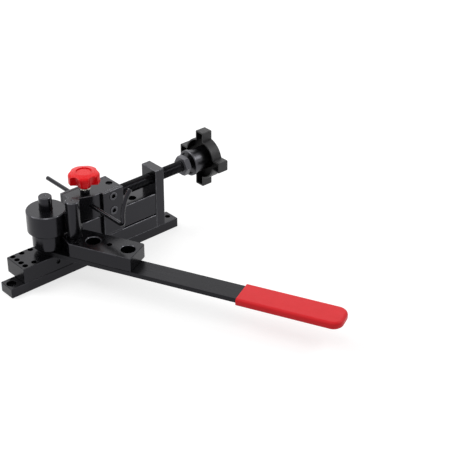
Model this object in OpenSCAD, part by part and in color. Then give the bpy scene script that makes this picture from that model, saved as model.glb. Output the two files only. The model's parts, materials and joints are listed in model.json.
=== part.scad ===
// Angle bender for the bench: a lever with a die block and a bending pin swings round a former,
// and a screw-driven saddle on a guide holds the stock behind it.
// Millimetres. Origin on the underside of the base, below the pivot. +X is the lever side,
// +Y runs along the base to the handwheel, +Z is up.

/* [Base] */
// Width of the base bar
base_width = 21.5; // [20:0.5:30]
// Thickness of the base bar
base_thickness = 12; // [10:0.5:18]
// Length of the base bar in front of the index block
base_nose = 17.5; // [15:0.5:30]
// Length of the base bar behind the upright
base_tail = 19.5; // [15:0.5:30]
// Diameter of the two bench bolt holes
bolt_hole = 6.6; // [5:0.1:9]
// Distance of each bench bolt hole from its end of the base
bolt_inset = 7; // [6.5:0.5:9]
// Diameter of the counterbore of the front bolt hole
bolt_counterbore = 11.5; // [9.5:0.5:12]
// Depth of the counterbore of the front bolt hole
bolt_counterbore_depth = 5; // [2:0.5:7]

/* [Index block] */
// Width of the index block and of the rail
block_width = 34; // [32:0.5:40]
// Distance from the pivot to the front face of the index block
index_front = 45.5; // [42:0.5:50]
// Distance from the pivot to the rear face of the index block
index_rear = 34; // [31:0.5:36]
// Height of the index block
index_height = 18.8; // [17:0.2:24]
// Diameter of the stop pin holes
stop_hole = 6.2; // [4:0.1:7]
// Depth of the stop pin holes
stop_hole_depth = 8; // [5:0.5:9]
// Pitch of the stop pin holes across the block
stop_pitch_x = 8.2; // [7:0.1:8.4]
// Pitch of the stop pin holes along the block
stop_pitch_y = 11.6; // [9:0.1:12]
// Distance of the first row of stop pin holes from the front face
stop_inset = 5.8; // [4.5:0.1:8]
// Sideways shift of the stop pin holes to the left
stop_shift = 0.9; // [0:0.1:1]
// Distance from the pivot to the front screw under the index block
index_screw_front = 22; // [18:0.5:26]
// Distance from the pivot to the rear screw under the index block
index_screw_rear = 20; // [16:0.5:26]

/* [Pivot and former] */
// Diameter of the pivot post
post_diameter = 15; // [12:0.5:16]
// Height of the post above the former
post_reach = 16.4; // [8:0.2:20]
// Diameter of the spacer neck under the former
neck_diameter = 35.5; // [26:0.5:36]
// Height of the spacer neck
neck_height = 20.1; // [18:0.1:26]
// Diameter of the round former
former_diameter = 45; // [38:0.5:50]
// Height of the round former
former_height = 26.6; // [20:0.2:32]
// Edge chamfer of the former, the post and the pin
round_chamfer = 1; // [0.5:0.1:1.5]
// Diameter of the set screw that locks the post
set_screw = 5; // [4:0.5:6]
// Length of that set screw
set_screw_length = 7; // [5:0.5:9]
// Width of the hexagon socket of that set screw
set_screw_socket = 2.5; // [2:0.5:3]
// Height of that set screw above the base
set_screw_height = 10.2; // [7:0.2:12]

/* [Lever] */
// Angle of the lever as it stands, from the lever side towards the handwheel
lever_angle = 24.6; // [20:0.2:28]
// Width of the flat lever bar
lever_width = 26.5; // [24:0.5:30]
// Thickness of the flat lever bar
lever_thickness = 5.5; // [5:0.1:8]
// Distance from the pivot to the outer end of the lever bar
lever_reach = 338; // [300:1:380]
// Width of the die block on the lever
die_width = 35.5; // [34:0.5:37]
// Height of the die block
die_height = 16.8; // [15:0.2:20]
// Gap between the spacer neck and the inner end of the die block
die_gap = 1.75; // [1.5:0.05:4]
// Length of the tapered inner end of the die block
die_taper = 15; // [12:0.5:17]
// Width of the die block at its inner end
die_nose = 12.6; // [11:0.2:16]
// Radius of the rounded rear corner of the die block
die_corner = 3; // [2:0.5:9]
// Diameter of the bending pin
pin_diameter = 16; // [12:0.5:16.5]
// Length of the bending pin
pin_length = 62; // [50:1:70]
// Gap between the former and the bending pin
pin_gap = 1.35; // [1:0.05:5]
// Distance from the first pin hole to the second
pin_step = 23.8; // [22:0.2:26]
// Distance from the second pin hole to the third
pin_step_far = 43; // [38:0.5:45]
// Distance from the third pin hole to the outer end of the die block
die_end = 12; // [10:0.2:16]
// Distance from the second pin hole to the small hole
small_hole_step = 20; // [17:0.5:22]
// Diameter of the small hole
small_hole = 6; // [4:0.1:8]
// Distance from the first pin hole to the top screw of the die block
die_screw_step = 8.5; // [8:0.2:12]
// Distance from the top screw of the die block to the screw from below
die_screw_span = 45; // [42:0.5:50]
// Distance of both screws from the front edge of the lever bar
die_screw_inset = 6.8; // [6.5:0.1:8]

/* [Grip] */
// Length of the grip
grip_length = 116; // [90:1:140]
// Width of the grip beside the lever bar, on each side
grip_wall = 3.75; // [2.5:0.25:6]
// Thickness of the grip over and under the lever bar
grip_skin = 1.75; // [1.25:0.25:4]
// Length of the grip past the end of the lever bar
grip_overhang = 13; // [5:0.5:20]
// Corner radius of the grip's outer end
grip_corner = 12; // [4:0.5:15]
// Bevel along the grip's edges
grip_bevel = 2; // [0.5:0.1:3]

/* [Guide] */
// Length of the rail from the index block to the upright
rail_length = 107.5; // [104:0.5:120]
// Height of the rail
rail_height = 16.5; // [14:0.5:18]
// Distance from the front end of the rail to the front end of the guide bar
guide_setback = 2; // [0:0.5:4]
// Width of the guide bar
guide_width = 25.2; // [24:0.2:26]
// Distance of the guide bar's side behind the side of the rail
guide_inset = 1; // [0.5:0.1:3]
// Height of the guide bar
guide_height = 28.2; // [22:0.2:32]
// Height of the groove under each edge of the guide bar
groove_height = 1.5; // [1.2:0.1:3]
// Depth of the groove under each edge of the guide bar
groove_depth = 3.2; // [2:0.1:5]
// Sideways distance of the guide screws from the middle of the base
guide_screw_shift = 0.75; // [0:0.25:5]
// Distance of the front guide screw from the front end of the guide bar
guide_screw_front = 14; // [9:0.5:20]
// Distance of the rear guide screw from the upright
guide_screw_rear = 27; // [15:0.5:30]
// Depth of the guide screws' heads below the top of the guide
guide_screw_sink = 4; // [1:0.5:6]

/* [Upright] */
// Thickness of the upright
upright_thickness = 12.5; // [10:0.5:16]
// Wall of the upright beside the lead screw
upright_wall = 5.85; // [3:0.05:7]
// Height of the upright above the axis of the lead screw
upright_head = 15.5; // [12:0.5:24]
// Distance between the two screws under the upright
upright_screw_span = 10; // [9:0.5:11]

/* [Saddle] */
// Gap between the former and the front face of the saddle
saddle_gap = 5.75; // [5:0.25:12]
// Height of the saddle block above the guide bar
saddle_height = 30; // [27:0.5:34]
// Width of the front face that the relief leaves
saddle_nose = 15.6; // [12:0.2:18]
// Length of the slanted relief on the lever side
relief_length = 22.5; // [16:0.5:23]
// Length of the shallow run-out of the relief
relief_runout = 4; // [1:0.5:8]
// Depth of the shallow run-out of the relief
relief_step = 1; // [0.5:0.1:2]
// Thickness of the side plates
plate_thickness = 4.2; // [3:0.1:6]
// Length of the right side plate, and of the thin foot of each plate
plate_length = 28.5; // [24:0.5:30]
// Height of the thin foot of each side plate above the rail
plate_foot_height = 3.8; // [3:0.1:6]
// Thickness of the thin foot of each side plate
plate_foot = 1.4; // [1:0.1:2]
// Depth of the upper plate screws below the top of the saddle
plate_screw_top = 7.7; // [6:0.1:8.5]
// Height of the lower plate screws above the foot of the saddle
plate_screw_bottom = 4; // [3.5:0.1:5]
// Distance of the rear plate screws from the rear face of the saddle
plate_screw_rear = 14.5; // [13:0.5:16]
// Distance of the front plate screw from the front face of the saddle
plate_screw_front = 11.5; // [8:0.5:13]
// Height of the heads of the plate screws
plate_screw_head = 3.4; // [3:0.1:5]
// Depth of the seats of the plate screw heads
plate_screw_seat = 2.6; // [0.5:0.1:2.8]
// Thread length of the plate screws in the saddle
plate_screw_grip = 5.5; // [4:0.5:6]

/* [Screw and handwheel] */
// Diameter of the lead screw
screw_diameter = 14; // [12:0.5:15]
// Pitch of the lead screw
screw_pitch = 2; // [1.5:0.25:4]
// Depth of the thread
thread_depth = 0.9; // [0.6:0.1:1.6]
// Plain length of the lead screw at each end of its thread
thread_plain = 2; // [1:0.5:5]
// Depth of the screw axis below the top of the saddle
screw_drop = 15.6; // [14:0.2:17]
// Depth of the screw's socket in the saddle
screw_socket = 26; // [24:0.5:30]
// Distance from the clamp's axis to the end of the socket
socket_wall = 15; // [10:0.5:18]
// Width of the swivel groove in the screw
swivel_width = 5; // [4:0.1:6]
// Depth of the swivel groove
swivel_depth = 2; // [1:0.1:3]
// Distance of the swivel screw from the rear face of the saddle
swivel_inset = 7.5; // [6:0.5:8.5]
// Diameter of the swivel screw
swivel_screw = 8; // [6:0.5:9]
// Depth of the swivel screw below the top of the saddle
swivel_recess = 2; // [1:0.2:3]
// Length of the point of the swivel screw
swivel_point = 2.8; // [2:0.2:4]
// Length of screw between the upright and the jam nut
screw_tail = 36.5; // [30:0.5:50]
// Width of the jam nut across its flats
nut_flats = 22; // [20:0.5:24]
// Thickness of the jam nut
nut_thickness = 7.5; // [6:0.5:11]
// Chamfer of the jam nut
nut_chamfer = 1.2; // [0.5:0.1:2]
// Gap between the jam nut and the hub, where the plain end of the screw shows
hub_gap = 4; // [1:0.5:6]
// Diameter of the hub's front collar
hub_collar = 32; // [30:0.5:36]
// Thickness of the hub's front collar
hub_collar_length = 4; // [2:0.5:6]
// Diameter of the hub
hub_diameter = 29; // [24:0.5:29.5]
// Diameter of the recess in the front of the hub
hub_recess = 27; // [20:0.5:28]
// Depth of the recess in the front of the hub
hub_recess_depth = 2.4; // [1:0.2:4]
// Length of the hub from its front to the web of the wheel
hub_length = 28.5; // [24:0.5:38]
// Radius of the handwheel over its lobes
wheel_radius = 36; // [32:0.5:42]
// Radius of the rim between the lobes
rim_radius = 25.7; // [22:0.1:28]
// Width of the lobes
lobe_width = 13.5; // [11:0.5:16]
// Depth of the wheel along the screw
wheel_depth = 14; // [12:0.5:18]
// Wall of the hollow wheel
wheel_wall = 2; // [1.5:0.1:3.5]
// Thickness of the web at the back of the wheel
web_thickness = 4; // [3:0.5:6]
// Diameter of the end screw of the wheel
end_screw = 8; // [6:0.5:8.5]
// Diameter of the head of the end screw
end_screw_head = 14; // [12:0.5:16]
// Height of the head of the end screw
end_screw_height = 3.5; // [3:0.5:5]

/* [Stop rod and knob] */
// Diameter of the stop rod
rod_diameter = 5; // [4:0.5:6]
// Depth of the rod's axis below the top of the saddle
rod_drop = 12.5; // [10:0.1:14]
// Distance of the rod and the knob from the front face of the saddle
clamp_setback = 22.5; // [21:0.5:26]
// Reach of the rod to the left of the lead screw's line
rod_left = 76; // [60:1:100]
// Reach of the rod to the right of the lead screw's line
rod_right = 69.5; // [60:0.5:90]
// Bend radius of the rod's elbow
rod_bend = 5; // [4:0.5:10]
// Straight length of the rod's leg
leg_straight = 5; // [1:0.5:10]
// Thinning of the rod's radius where it is bent
bend_thinning = 0.02; // [0.01:0.01:0.1]
// Radius of the bow of the rod's leg
leg_bow = 46; // [35:1:70]
// Angle of the bow of the rod's leg
leg_angle = 42; // [20:1:60]
// Diameter of the clamp stud
stud_diameter = 8; // [6:0.5:8.5]
// Length of the clamp stud in the knob
stud_hold = 9; // [6:0.5:12]
// Thickness of the clamp pad on the rod
pad_thickness = 2.2; // [1.5:0.1:3]
// Diameter of the metal collar under the knob
collar_diameter = 11; // [10:0.5:16]
// Height of the metal collar
collar_height = 5; // [4:0.2:8]
// Diameter of the bright flange on the clamp stud
flange_diameter = 13.6; // [11:0.2:16]
// Thickness of the bright flange on the clamp stud
flange_height = 2; // [1:0.1:3]
// Diameter of the star knob over its lobes
knob_diameter = 36; // [32:0.5:42]
// Number of lobes of the star knob
knob_lobes = 5; // [4:1:7]
// Radius of the hollows between the lobes
hollow_radius = 6; // [4:0.1:7]
// Depth of the hollows at the foot of the lobes
knob_hollow = 6; // [3:0.1:7]
// Lean of the hollows away from the knob, which makes them shallower towards the dome
hollow_lean = 14; // [5:1:35]
// Height of the foot of the knob
knob_foot = 6; // [2:0.2:9]
// Flare of the foot of the knob
foot_flare = 5; // [2:0.2:6]
// Height of the straight part of the knob
knob_height = 11.6; // [7:0.2:14]
// Height of the domed part of the knob
knob_dome = 2.6; // [2:0.2:6]
// Diameter of the cap in the top of the knob
cap_diameter = 17; // [11:0.5:18]
// Thickness of that cap
cap_thickness = 1.2; // [1:0.1:2]
// Depth of the recess that holds the cap
cap_recess = 2.5; // [1.5:0.1:3]

/* [Fasteners and fits] */
// Diameter of the frame screws
screw_m = 6; // [5:0.5:6]
// Diameter of the heads of the frame screws
head_m = 10; // [9:0.5:10.5]
// Height of the heads of the frame screws
head_height = 5; // [4:0.5:6]
// Depth of the heads of the frame screws below the faces they sink into
head_sink = 1; // [0.5:0.1:1.5]
// Width of the hexagon sockets of the frame screws
socket_m = 5; // [4:0.5:5.5]
// Depth of the hexagon sockets
socket_depth = 2.5; // [1.5:0.1:2.8]
// Width of the hexagon sockets of the small screws
small_socket = 4; // [3:0.5:4.5]
// Thread length of the frame screws in the piece they hold
frame_grip = 7; // [5:0.5:8]
// Depth of the threaded holes past the ends of their screws
hole_spare = 0.5; // [0.3:0.1:1]
// Diameter of the upright's screws
upright_screw = 5; // [4:0.5:5.5]
// Diameter of the heads of the upright's screws
upright_screw_head = 8.4; // [7.5:0.1:8.8]
// Chamfer of the screw heads and of other small round pieces
small_chamfer = 0.4; // [0.2:0.1:0.6]
// Running clearance on the radius of shafts and posts
running_clearance = 0.05; // [0.02:0.01:0.09]
// Clearance on the radius of screws in their holes
screw_clearance = 0.15; // [0.05:0.05:0.3]
// Gap between faces that slide on each other
slide_clearance = 0.2; // [0.1:0.05:0.4]
// Gap between the clamp pad and the rod
pad_clearance = 0.3; // [0.2:0.05:0.5]
// Chamfer along the edges of the blocks
edge = 0.6; // [0.3:0.1:1]

/* [Hidden] */
$fn = 48;
cut = 0.5;

// Places across the bender
side_x = block_width / 2;
base_x0 = side_x - base_width;
base_xc = side_x - base_width / 2;
line_x = side_x - guide_inset - guide_width / 2;
guide_screw_x = base_xc - guide_screw_shift;
upright_x0 = line_x - screw_diameter / 2 - upright_wall;
saddle_x = guide_width / 2 + slide_clearance;
plate_x1 = saddle_x + plate_thickness;
elbow_x = rod_right - rod_bend;

// Places along the bender
base_y0 = -index_front - base_nose;
rail_y0 = index_rear;
upright_y0 = rail_y0 + rail_length;
upright_y1 = upright_y0 + upright_thickness;
upright_yc = upright_y0 + upright_thickness / 2;
base_y1 = upright_y1 + base_tail;
guide_y0 = rail_y0 + guide_setback;
saddle_y0 = former_diameter / 2 + saddle_gap;
clamp_y = saddle_y0 + clamp_setback;
socket_y = clamp_y + socket_wall;
saddle_y1 = socket_y + screw_socket;
plate_y0 = saddle_y1 - plate_length;
swivel_y = saddle_y1 - swivel_inset;
nut_y0 = upright_y1 + screw_tail;
hub_y0 = nut_y0 + nut_thickness + hub_gap;
web_y0 = hub_y0 + hub_length;
wheel_y1 = web_y0 + web_thickness;
wheel_y0 = wheel_y1 - wheel_depth;
screw_y1 = web_y0 - slide_clearance;

// Heights
index_top = base_thickness + index_height;
lever_z0 = index_top + slide_clearance;
lever_z1 = lever_z0 + lever_thickness;
die_top = lever_z1 + die_height;
neck_z0 = lever_z1 + slide_clearance;
neck_z1 = neck_z0 + neck_height;
former_top = neck_z1 + former_height;
post_top = former_top + post_reach;
rail_top = base_thickness + rail_height;
guide_top = rail_top + guide_height;
saddle_z0 = guide_top + slide_clearance;
saddle_z1 = saddle_z0 + saddle_height;
plate_z0 = rail_top + slide_clearance;
plate_foot_top = rail_top + plate_foot_height;
lip_height = groove_height - 2 * slide_clearance;
screw_z = saddle_z1 - screw_drop;
upright_top = screw_z + upright_head;
rod_z = saddle_z1 - rod_drop;
pad_z0 = rod_z + rod_diameter / 2 + pad_clearance;
stud_z0 = pad_z0 + pad_thickness;
collar_z0 = saddle_z1 + slide_clearance;
flange_z0 = collar_z0 + collar_height;
foot_z0 = flange_z0 + flange_height;
leg_z = rod_z + rod_bend + leg_straight;
stud_z1 = foot_z0 + stud_hold;
knob_z0 = foot_z0 + knob_foot;
dome_z0 = knob_z0 + knob_height;
knob_top = dome_z0 + knob_dome;

// Places along the lever, from the pivot, and across it
die_y0 = -lever_width / 2;
die_y1 = die_y0 + die_width;
die_yc = die_y0 + die_width / 2;
die_x0 = neck_diameter / 2 + die_gap;
pin_orbit = former_diameter / 2 + pin_gap + pin_diameter / 2;
pin_x = sqrt(pin_orbit * pin_orbit - die_yc * die_yc);
pin_far = pin_x + pin_step;
pin_last = pin_far + pin_step_far;
die_x1 = pin_last + die_end;
small_x = pin_far + small_hole_step;
die_screw_y = die_y0 + die_screw_inset;
die_screw_x = pin_x + die_screw_step;
die_screw_far = die_screw_x + die_screw_span;
grip_x1 = lever_reach + grip_overhang;
grip_x0 = grip_x1 - grip_length;

// Screws and holes
post_bore = post_diameter + 2 * running_clearance;
pin_bore = pin_diameter + 2 * running_clearance;
screw_bore = screw_diameter + 2 * running_clearance;
rod_bore = rod_diameter + 2 * running_clearance;
stud_bore = stud_diameter + 2 * running_clearance;
screw_hole = screw_m + 2 * screw_clearance;
head_hole = head_m + 2 * screw_clearance;
head_seat = head_height + head_sink;
guide_seat = guide_top - head_height - guide_screw_sink;
grip_hole = frame_grip + hole_spare;
index_screw_y = [-index_screw_front, index_screw_rear];
guide_screw_y = [guide_y0 + guide_screw_front, upright_y0 - guide_screw_rear];
upright_screw_x = [base_xc - upright_screw_span / 2, base_xc + upright_screw_span / 2];
plate_rear_y = saddle_y1 - plate_screw_rear;
plate_upper_z = saddle_z1 - plate_screw_top;
plate_lower_z = saddle_z0 + plate_screw_bottom;
right_plate_screws = [[plate_rear_y, plate_upper_z], [plate_rear_y, plate_lower_z]];
left_plate_screws = concat(right_plate_screws, [[saddle_y0 + plate_screw_front, plate_upper_z]]);

// The places of the stop pin holes, by column and row
stop_places = [[0, 0], [1, 0], [2, 0], [3, 0], [0, 1], [0, 2], [3, 1]];
stop_columns = 4;

// Steps of the rod's bends, and the length that its bent end shares with its straight run
elbow_steps = 6;
bow_steps = 7;
rod_sides = 24;
bend_overlap = 1;

// Colours
steel = [0.16, 0.16, 0.17];
dark_steel = [0.10, 0.10, 0.11];
bright_steel = [0.62, 0.62, 0.62];
brass = [0.72, 0.55, 0.25];
black_plastic = [0.09, 0.09, 0.10];
red_plastic = [0.75, 0.06, 0.08];
red_vinyl = [0.80, 0.07, 0.10];

// A box with chamfered edges between two corners
module block(low, high) {
    s = high - low;
    translate(low) hull() {
        translate([edge, edge, 0]) cube([s[0] - 2 * edge, s[1] - 2 * edge, s[2]]);
        translate([0, edge, edge]) cube([s[0], s[1] - 2 * edge, s[2] - 2 * edge]);
        translate([edge, 0, edge]) cube([s[0] - 2 * edge, s[1], s[2] - 2 * edge]);
    }
}

// A convex outline raised between two heights, with chamfered top and bottom edges
module slab(z0, z1) {
    hull() {
        translate([0, 0, z0]) linear_extrude(z1 - z0) offset(delta = -edge) children();
        translate([0, 0, z0 + edge]) linear_extrude(z1 - z0 - 2 * edge) children();
    }
}

// A round bar along Z with chamfered ends, and a bore where one is given
module bar(d, z0, z1, chamfer, bore = 0, fn = 64) {
    r = d / 2;
    b = bore / 2;
    rotate_extrude($fn = fn) polygon([[b, z0], [r - chamfer, z0], [r, z0 + chamfer],
        [r, z1 - chamfer], [r - chamfer, z1], [b, z1]]);
}

// A hole along Z
module hole(d, z0, z1, fn = 40) {
    translate([0, 0, z0]) cylinder(d = d, h = z1 - z0, $fn = fn);
}

// A hexagon socket that opens upwards at z = 0
module socket(width) {
    translate([0, 0, -socket_depth]) cylinder(d = width / cos(30), h = socket_depth + cut, $fn = 6);
}

// Turns what stands along Z to lie along Y, with its foot at the point
module along_y(point) {
    translate(point) rotate([-90, 0, 0]) children();
}

// Turns what stands along Z to lie along X, with its foot at the point
module along_x(point) {
    translate(point) rotate([0, 90, 0]) children();
}

// Places what belongs to the lever at the angle where it stands
module on_lever() {
    rotate([0, 0, lever_angle]) children();
}

// Places what belongs to the saddle over the middle of the guide bar, in line with the lead screw
module on_guide() {
    translate([line_x, 0, 0]) children();
}

// A socket cap screw: the top of its head at z = 0, its shank below
module cap_screw(d, head, height, length, width) {
    difference() {
        union() {
            bar(head, -height, 0, small_chamfer, 0, 40);
            hole(d, -height - length, -height + small_chamfer, 32);
        }
        socket(width);
    }
}

// The base bar: bench bolt holes at its ends, screw holes for what stands on it
module base_bar() {
    color(steel) difference() {
        block([base_x0, base_y0, 0], [side_x, base_y1, base_thickness]);
        for (y = [base_y0 + bolt_inset, base_y1 - bolt_inset])
            translate([base_xc, y, 0]) hole(bolt_hole, -cut, base_thickness + cut);
        translate([base_xc, base_y0 + bolt_inset, 0])
            hole(bolt_counterbore, base_thickness - bolt_counterbore_depth, base_thickness + cut);
        for (y = index_screw_y) translate([base_xc, y, 0]) {
            hole(screw_hole, -cut, base_thickness + cut);
            hole(head_hole, -cut, head_seat);
        }
        for (x = upright_screw_x) translate([x, upright_yc, 0]) {
            hole(upright_screw + 2 * screw_clearance, -cut, base_thickness + cut);
            hole(upright_screw_head + 2 * screw_clearance, -cut, head_seat);
        }
        for (y = guide_screw_y) translate([guide_screw_x, y, 0])
            hole(screw_hole, base_thickness - grip_hole, base_thickness + cut);
    }
}

// The index block: seat of the pivot post, with stop pin holes round it
module index_block() {
    color(steel) difference() {
        block([-side_x, -index_front, base_thickness], [side_x, index_rear, index_top]);
        hole(post_bore, base_thickness - cut, index_top + cut, 64);
        for (p = stop_places) translate([(p[0] - (stop_columns - 1) / 2) * stop_pitch_x - stop_shift,
            p[1] * stop_pitch_y + stop_inset - index_front, 0])
            hole(stop_hole, index_top - stop_hole_depth, index_top + cut, 32);
        along_x([0, 0, base_thickness + set_screw_height])
            hole(set_screw + 2 * screw_clearance, 0, side_x + cut, 32);
        for (y = index_screw_y) translate([base_xc, y, 0])
            hole(screw_hole, base_thickness - cut, base_thickness + grip_hole);
    }
}

// The two screws that hold the index block, from under the base
module index_screws() {
    color(dark_steel) for (y = index_screw_y) translate([base_xc, y, head_sink]) rotate([180, 0, 0])
        cap_screw(screw_m, head_m, head_height, base_thickness - head_seat + frame_grip, socket_m);
}

// The pivot post that the lever and the former turn on
module pivot_post() {
    color(steel) bar(post_diameter, base_thickness, post_top, round_chamfer);
}

// The set screw that locks the post in the index block
module pivot_set_screw() {
    x1 = post_bore / 2 + set_screw_length;
    color(dark_steel) along_x([x1, 0, base_thickness + set_screw_height]) difference() {
        hole(set_screw, -set_screw_length, 0, 32);
        socket(set_screw_socket);
    }
}

// The rail between the base and the guide bar
module lower_rail() {
    color(steel) difference() {
        block([-side_x, rail_y0, base_thickness], [side_x, upright_y0, rail_top]);
        for (y = guide_screw_y) translate([guide_screw_x, y, 0])
            hole(screw_hole, base_thickness - cut, rail_top + cut);
    }
}

// The guide bar that the saddle slides on, with a groove under each edge
module guide_bar() {
    w = guide_width / 2;
    g = w - groove_depth;
    z1 = rail_top + groove_height;
    color(steel) difference() {
        translate([line_x, upright_y0, 0]) rotate([90, 0, 0]) linear_extrude(upright_y0 - guide_y0)
            polygon([[-g, rail_top], [g, rail_top], [g, z1], [w, z1], [w, guide_top - edge],
                [w - edge, guide_top], [edge - w, guide_top], [-w, guide_top - edge],
                [-w, z1], [-g, z1]]);
        for (y = guide_screw_y) translate([guide_screw_x, y, 0]) {
            hole(screw_hole, rail_top - cut, guide_top + cut);
            hole(head_hole, guide_seat, guide_top + cut);
        }
    }
}

// The two screws through the guide bar and the rail into the base
module guide_screws() {
    length = guide_seat - base_thickness + frame_grip;
    color(dark_steel) for (y = guide_screw_y) translate([guide_screw_x, y, guide_seat + head_height])
        cap_screw(screw_m, head_m, head_height, length, socket_m);
}

// The upright that carries the thread of the lead screw
module upright() {
    color(steel) difference() {
        block([upright_x0, upright_y0, base_thickness], [side_x, upright_y1, upright_top]);
        along_y([line_x, upright_y0, screw_z]) hole(screw_bore, -cut, upright_thickness + cut, 64);
        for (x = upright_screw_x) translate([x, upright_yc, 0])
            hole(upright_screw + 2 * screw_clearance, base_thickness - cut, base_thickness + grip_hole);
    }
}

// The two screws that hold the upright, from under the base
module upright_screws() {
    color(dark_steel) for (x = upright_screw_x) translate([x, upright_yc, head_sink]) rotate([180, 0, 0])
        cap_screw(upright_screw, upright_screw_head, head_height,
            base_thickness - head_seat + frame_grip, small_socket);
}

// The flat lever bar, with its eye on the post
module lever_bar() {
    cone = (head_m - screw_m) / 2;
    color(steel) on_lever() difference() {
        hull() {
            hole(lever_width, lever_z0, lever_z1, 64);
            translate([0, -lever_width / 2, lever_z0]) cube([lever_reach, lever_width, lever_thickness]);
        }
        hole(post_bore, lever_z0 - cut, lever_z1 + cut, 64);
        for (x = [die_screw_x, die_screw_far]) translate([x, die_screw_y, 0])
            hole(screw_hole, lever_z0 - cut, lever_z1 + cut, 32);
        translate([die_screw_far, die_screw_y, lever_z0])
            cylinder(d1 = head_hole, d2 = screw_hole, h = cone, $fn = 40);
    }
}

// The outline of the die block
module die_outline() {
    x1 = die_x0 + die_taper;
    n = die_nose / 2;
    hull() {
        polygon([[x1, die_y0], [die_x1, die_y0], [die_x1, die_yc], [x1, die_y1],
            [die_x0, die_yc + n], [die_x0, die_yc - n]]);
        translate([die_x1 - die_corner, die_y1 - die_corner]) circle(r = die_corner, $fn = 40);
    }
}

// The die block on the lever, with three pin holes and a small hole
module lever_block() {
    color(steel) on_lever() difference() {
        slab(lever_z1, die_top) die_outline();
        for (x = [pin_x, pin_far, pin_last]) translate([x, die_yc, 0])
            hole(pin_bore, lever_z1 - cut, die_top + cut, 64);
        translate([small_x, die_yc, 0]) hole(small_hole, lever_z1 - cut, die_top + cut, 32);
        translate([die_screw_x, die_screw_y, 0]) {
            hole(screw_hole, lever_z1 - cut, die_top + cut, 32);
            hole(head_hole, die_top - head_seat, die_top + cut);
        }
        translate([die_screw_far, die_screw_y, 0])
            hole(screw_hole, lever_z1 - cut, lever_z1 + grip_hole, 32);
    }
}

// The screws of the die block: one from its top, one countersunk from under the bar
module lever_block_screws() {
    length = die_height - head_seat + lever_thickness - edge;
    cone = (head_m - screw_m) / 2;
    r = screw_m / 2;
    color(dark_steel) on_lever() {
        translate([die_screw_x, die_screw_y, die_top - head_sink])
            cap_screw(screw_m, head_m, head_height, length, socket_m);
        translate([die_screw_far, die_screw_y, lever_z0]) rotate([180, 0, 0]) difference() {
            rotate_extrude($fn = 40) polygon([[0, 0], [head_m / 2, 0], [r, -cone],
                [r, -lever_thickness - frame_grip], [0, -lever_thickness - frame_grip]]);
            socket(small_socket);
        }
    }
}

// The outline of the grip, drawn in by a margin
module grip_outline(margin) {
    w = lever_width / 2 + grip_wall - margin;
    r = grip_corner - margin;
    hull() {
        translate([grip_x0 + margin, -w]) square([grip_corner, 2 * w]);
        for (y = [r - w, w - r]) translate([grip_x1 - margin - r, y]) circle(r = r, $fn = 40);
    }
}

// The soft grip over the end of the lever bar
module lever_grip() {
    z0 = lever_z0 - grip_skin;
    height = lever_thickness + 2 * grip_skin;
    color(red_vinyl) on_lever() difference() {
        hull() {
            translate([0, 0, z0]) linear_extrude(height) grip_outline(grip_bevel);
            translate([0, 0, z0 + grip_bevel]) linear_extrude(height - 2 * grip_bevel) grip_outline(0);
        }
        translate([grip_x0 - cut, -lever_width / 2, lever_z0])
            cube([lever_reach - grip_x0 + cut, lever_width, lever_thickness]);
    }
}

// The bending pin in the first hole of the die block
module bending_pin() {
    z0 = lever_z1 + slide_clearance;
    color(steel) on_lever() translate([pin_x, die_yc, 0])
        bar(pin_diameter, z0, z0 + pin_length, round_chamfer);
}

// The spacer neck between the lever and the former
module former_neck() {
    color(steel) bar(neck_diameter, neck_z0, neck_z1, edge, post_bore, 72);
}

// The round former that the stock bends round
module former_drum() {
    color(steel) bar(former_diameter, neck_z1, former_top, round_chamfer, post_bore, 96);
}

// The outline of the saddle block, with the slanted relief on the lever side
module saddle_outline() {
    kink = saddle_y0 + relief_length;
    polygon([[-saddle_x, saddle_y0], [saddle_nose - saddle_x, saddle_y0], [saddle_x - relief_step, kink],
        [saddle_x, kink + relief_runout], [saddle_x, saddle_y1], [-saddle_x, saddle_y1]]);
}

// The saddle block: socket of the lead screw, cross bore of the stop rod, thread of the clamp
module saddle_block() {
    depth = saddle_x - plate_screw_grip - hole_spare;
    color(steel) on_guide() difference() {
        slab(saddle_z0, saddle_z1) saddle_outline();
        along_y([0, socket_y, screw_z]) hole(screw_bore, 0, screw_socket + cut, 64);
        along_x([0, clamp_y, rod_z]) hole(rod_bore, -saddle_x - cut, saddle_x + cut);
        translate([0, clamp_y, 0]) hole(stud_bore, rod_z, saddle_z1 + cut);
        translate([0, swivel_y, 0]) hole(swivel_screw + 2 * screw_clearance, screw_z, saddle_z1 + cut);
        for (p = right_plate_screws) along_x([0, p[0], p[1]]) hole(screw_hole, depth, saddle_x + cut, 32);
        for (p = left_plate_screws) along_x([0, p[0], p[1]]) hole(screw_hole, -saddle_x - cut, -depth, 32);
    }
}

// A side plate on the right, from y0 to the rear of the saddle. The lip of its thin foot runs in the
// groove and keeps the saddle on the guide.
module side_plate(y0, screws) {
    lip = guide_width / 2 - groove_depth + 2 * slide_clearance;
    difference() {
        union() {
            block([saddle_x, y0, plate_foot_top], [plate_x1, saddle_y1, saddle_z1]);
            translate([saddle_x, plate_y0 + edge, plate_z0])
                cube([plate_foot, plate_length - 2 * edge, plate_foot_height + edge]);
            translate([lip, plate_y0 + edge, plate_z0])
                cube([saddle_x + plate_foot - lip, plate_length - 2 * edge, lip_height]);
        }
        for (p = screws) along_x([saddle_x, p[0], p[1]]) {
            hole(screw_hole, -cut, plate_thickness + cut, 32);
            hole(head_hole, plate_thickness - plate_screw_seat, plate_thickness + cut);
        }
    }
}

// The short side plate on the lever side
module side_plate_right() {
    color(steel) on_guide() side_plate(plate_y0, right_plate_screws);
}

// The long side plate on the left, which the stop rod passes through
module side_plate_left() {
    color(steel) on_guide() difference() {
        mirror([1, 0, 0]) side_plate(saddle_y0, left_plate_screws);
        along_x([-saddle_x, clamp_y, rod_z]) hole(rod_bore, -plate_thickness - cut, cut);
    }
}

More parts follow.
